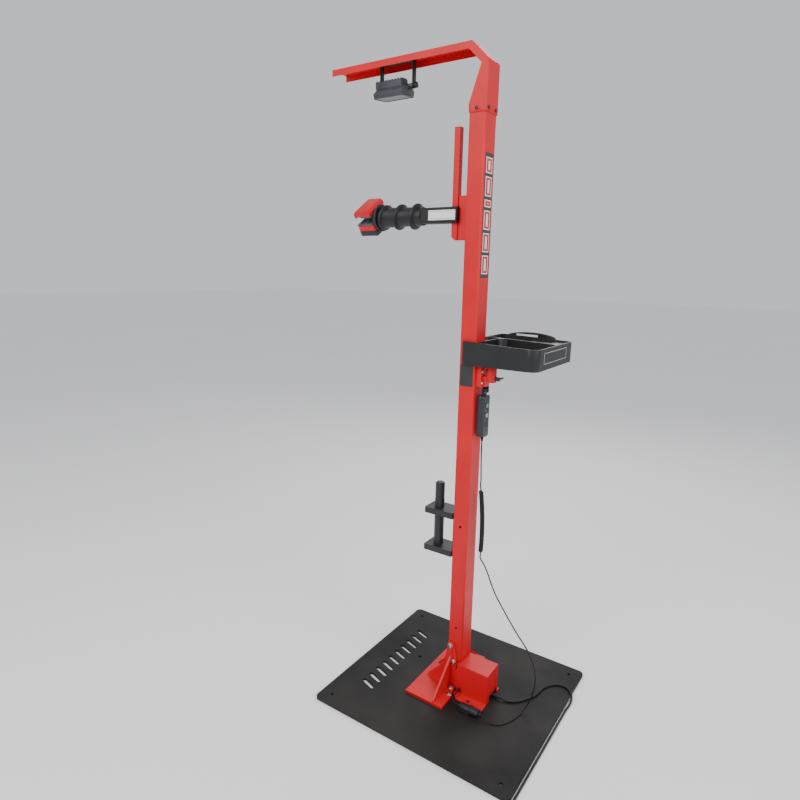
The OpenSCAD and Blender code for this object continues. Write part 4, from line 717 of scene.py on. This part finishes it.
# %% Cooling plates on the lamp
FINS, FIN_PITCH, FIN_MIDDLE_Y, FIN_HALF = 9, 12, -337, 0.8
FIN_FROM_X, FIN_TO_X, FIN_FOOT, FIN_TIP = -10, 26, 2127, 2130.5

bm = bmesh.new()
for i in range(FINS):
    y = FIN_MIDDLE_Y + FIN_PITCH * (i - (FINS - 1) / 2)
    block(bm, (FIN_FROM_X, y - FIN_HALF, FIN_FOOT), (FIN_TO_X, y + FIN_HALF, FIN_TIP))
bmesh.ops.rotate(bm, cent=PIVOT, matrix=Matrix.Rotation(LAMP_TILT, 3, "Y"), verts=bm.verts)
add_piece("lamp_fins", bm, black_plastic, "lamp")
print("cooling plates:", FINS)

# %% [markdown]
# The hand control gets a raised ring round each button, a small ring round each screw and a plain
# field where a type plate would be.

# %% Rings and field of the hand control
FACE_Y = 61.9
BUTTONS_Z, BUTTON_RING = (1086, 1052), (8.4, 10.6, 0.9)
SCREWS_Z, SCREW_RING = (1000, 1104), (1.2, 3, 0.5)
TYPE_LOW, TYPE_HIGH = (-11, 61.8, 1012), (11, 62.3, 1030)

bm = bmesh.new()
for heights, sizes in ((BUTTONS_Z, BUTTON_RING), (SCREWS_Z, SCREW_RING)):
    for z in heights:
        ring(bm, (0, FACE_Y, z), ALONG_Y, *sizes)
block(bm, TYPE_LOW, TYPE_HIGH)
add_piece("handset_trim", bm, black_plastic, "stand")
print("rings on the hand control:", len(BUTTONS_Z) + len(SCREWS_Z))

# %% [markdown]
# ## Floor and light
# A plain pale floor and three wide soft lamps, as in a product photograph. The key lamp stands on
# the camera's side, the fill lamp behind the stand and the back lamp on its far side.

# %% The floor and the lights
FLOOR_HALF = 30
WORLD_COLOUR, WORLD_STRENGTH = (0.95, 0.96, 1.0, 1), 0.75
MIDDLE = Vector((0, -0.05, 1.0))
LAMPS = [("key", (3.4, -0.6, 3.4), 2.6, 105), ("fill", (0.6, 3.8, 3.0), 2.6, 85),
         ("back", (-3.0, -0.8, 3.0), 2.2, 45)]

floor_mesh = bpy.data.meshes.new("studio_floor")
bm = bmesh.new()
bmesh.ops.create_grid(bm, x_segments=1, y_segments=1, size=FLOOR_HALF)
bm.to_mesh(floor_mesh)
bm.free()
floor_look = finish("pale studio floor", (0.93, 0.93, 0.93), 0.6, mottle=0.01, cloud=0.5, bump=0.02)
floor_mesh.materials.append(floor_look)
floor = bpy.data.objects.new("studio_floor", floor_mesh)
bpy.context.scene.collection.objects.link(floor)


def area_light(name, place, size, power):
    data = bpy.data.lights.new(name, "AREA")
    data.shape = "DISK"
    data.size = size
    data.energy = power
    lamp = bpy.data.objects.new(name, data)
    bpy.context.scene.collection.objects.link(lamp)
    lamp.location = place
    lamp.rotation_euler = (MIDDLE - Vector(place)).to_track_quat("-Z", "Y").to_euler()


for lamp_facts in LAMPS:
    area_light(*lamp_facts)
world = bpy.data.worlds.new("studio")
bpy.context.scene.world = world
world.use_nodes = True
sky = world.node_tree.nodes["Background"]
sky.inputs["Color"].default_value = WORLD_COLOUR
sky.inputs["Strength"].default_value = WORLD_STRENGTH
print("lamps:", len(LAMPS))
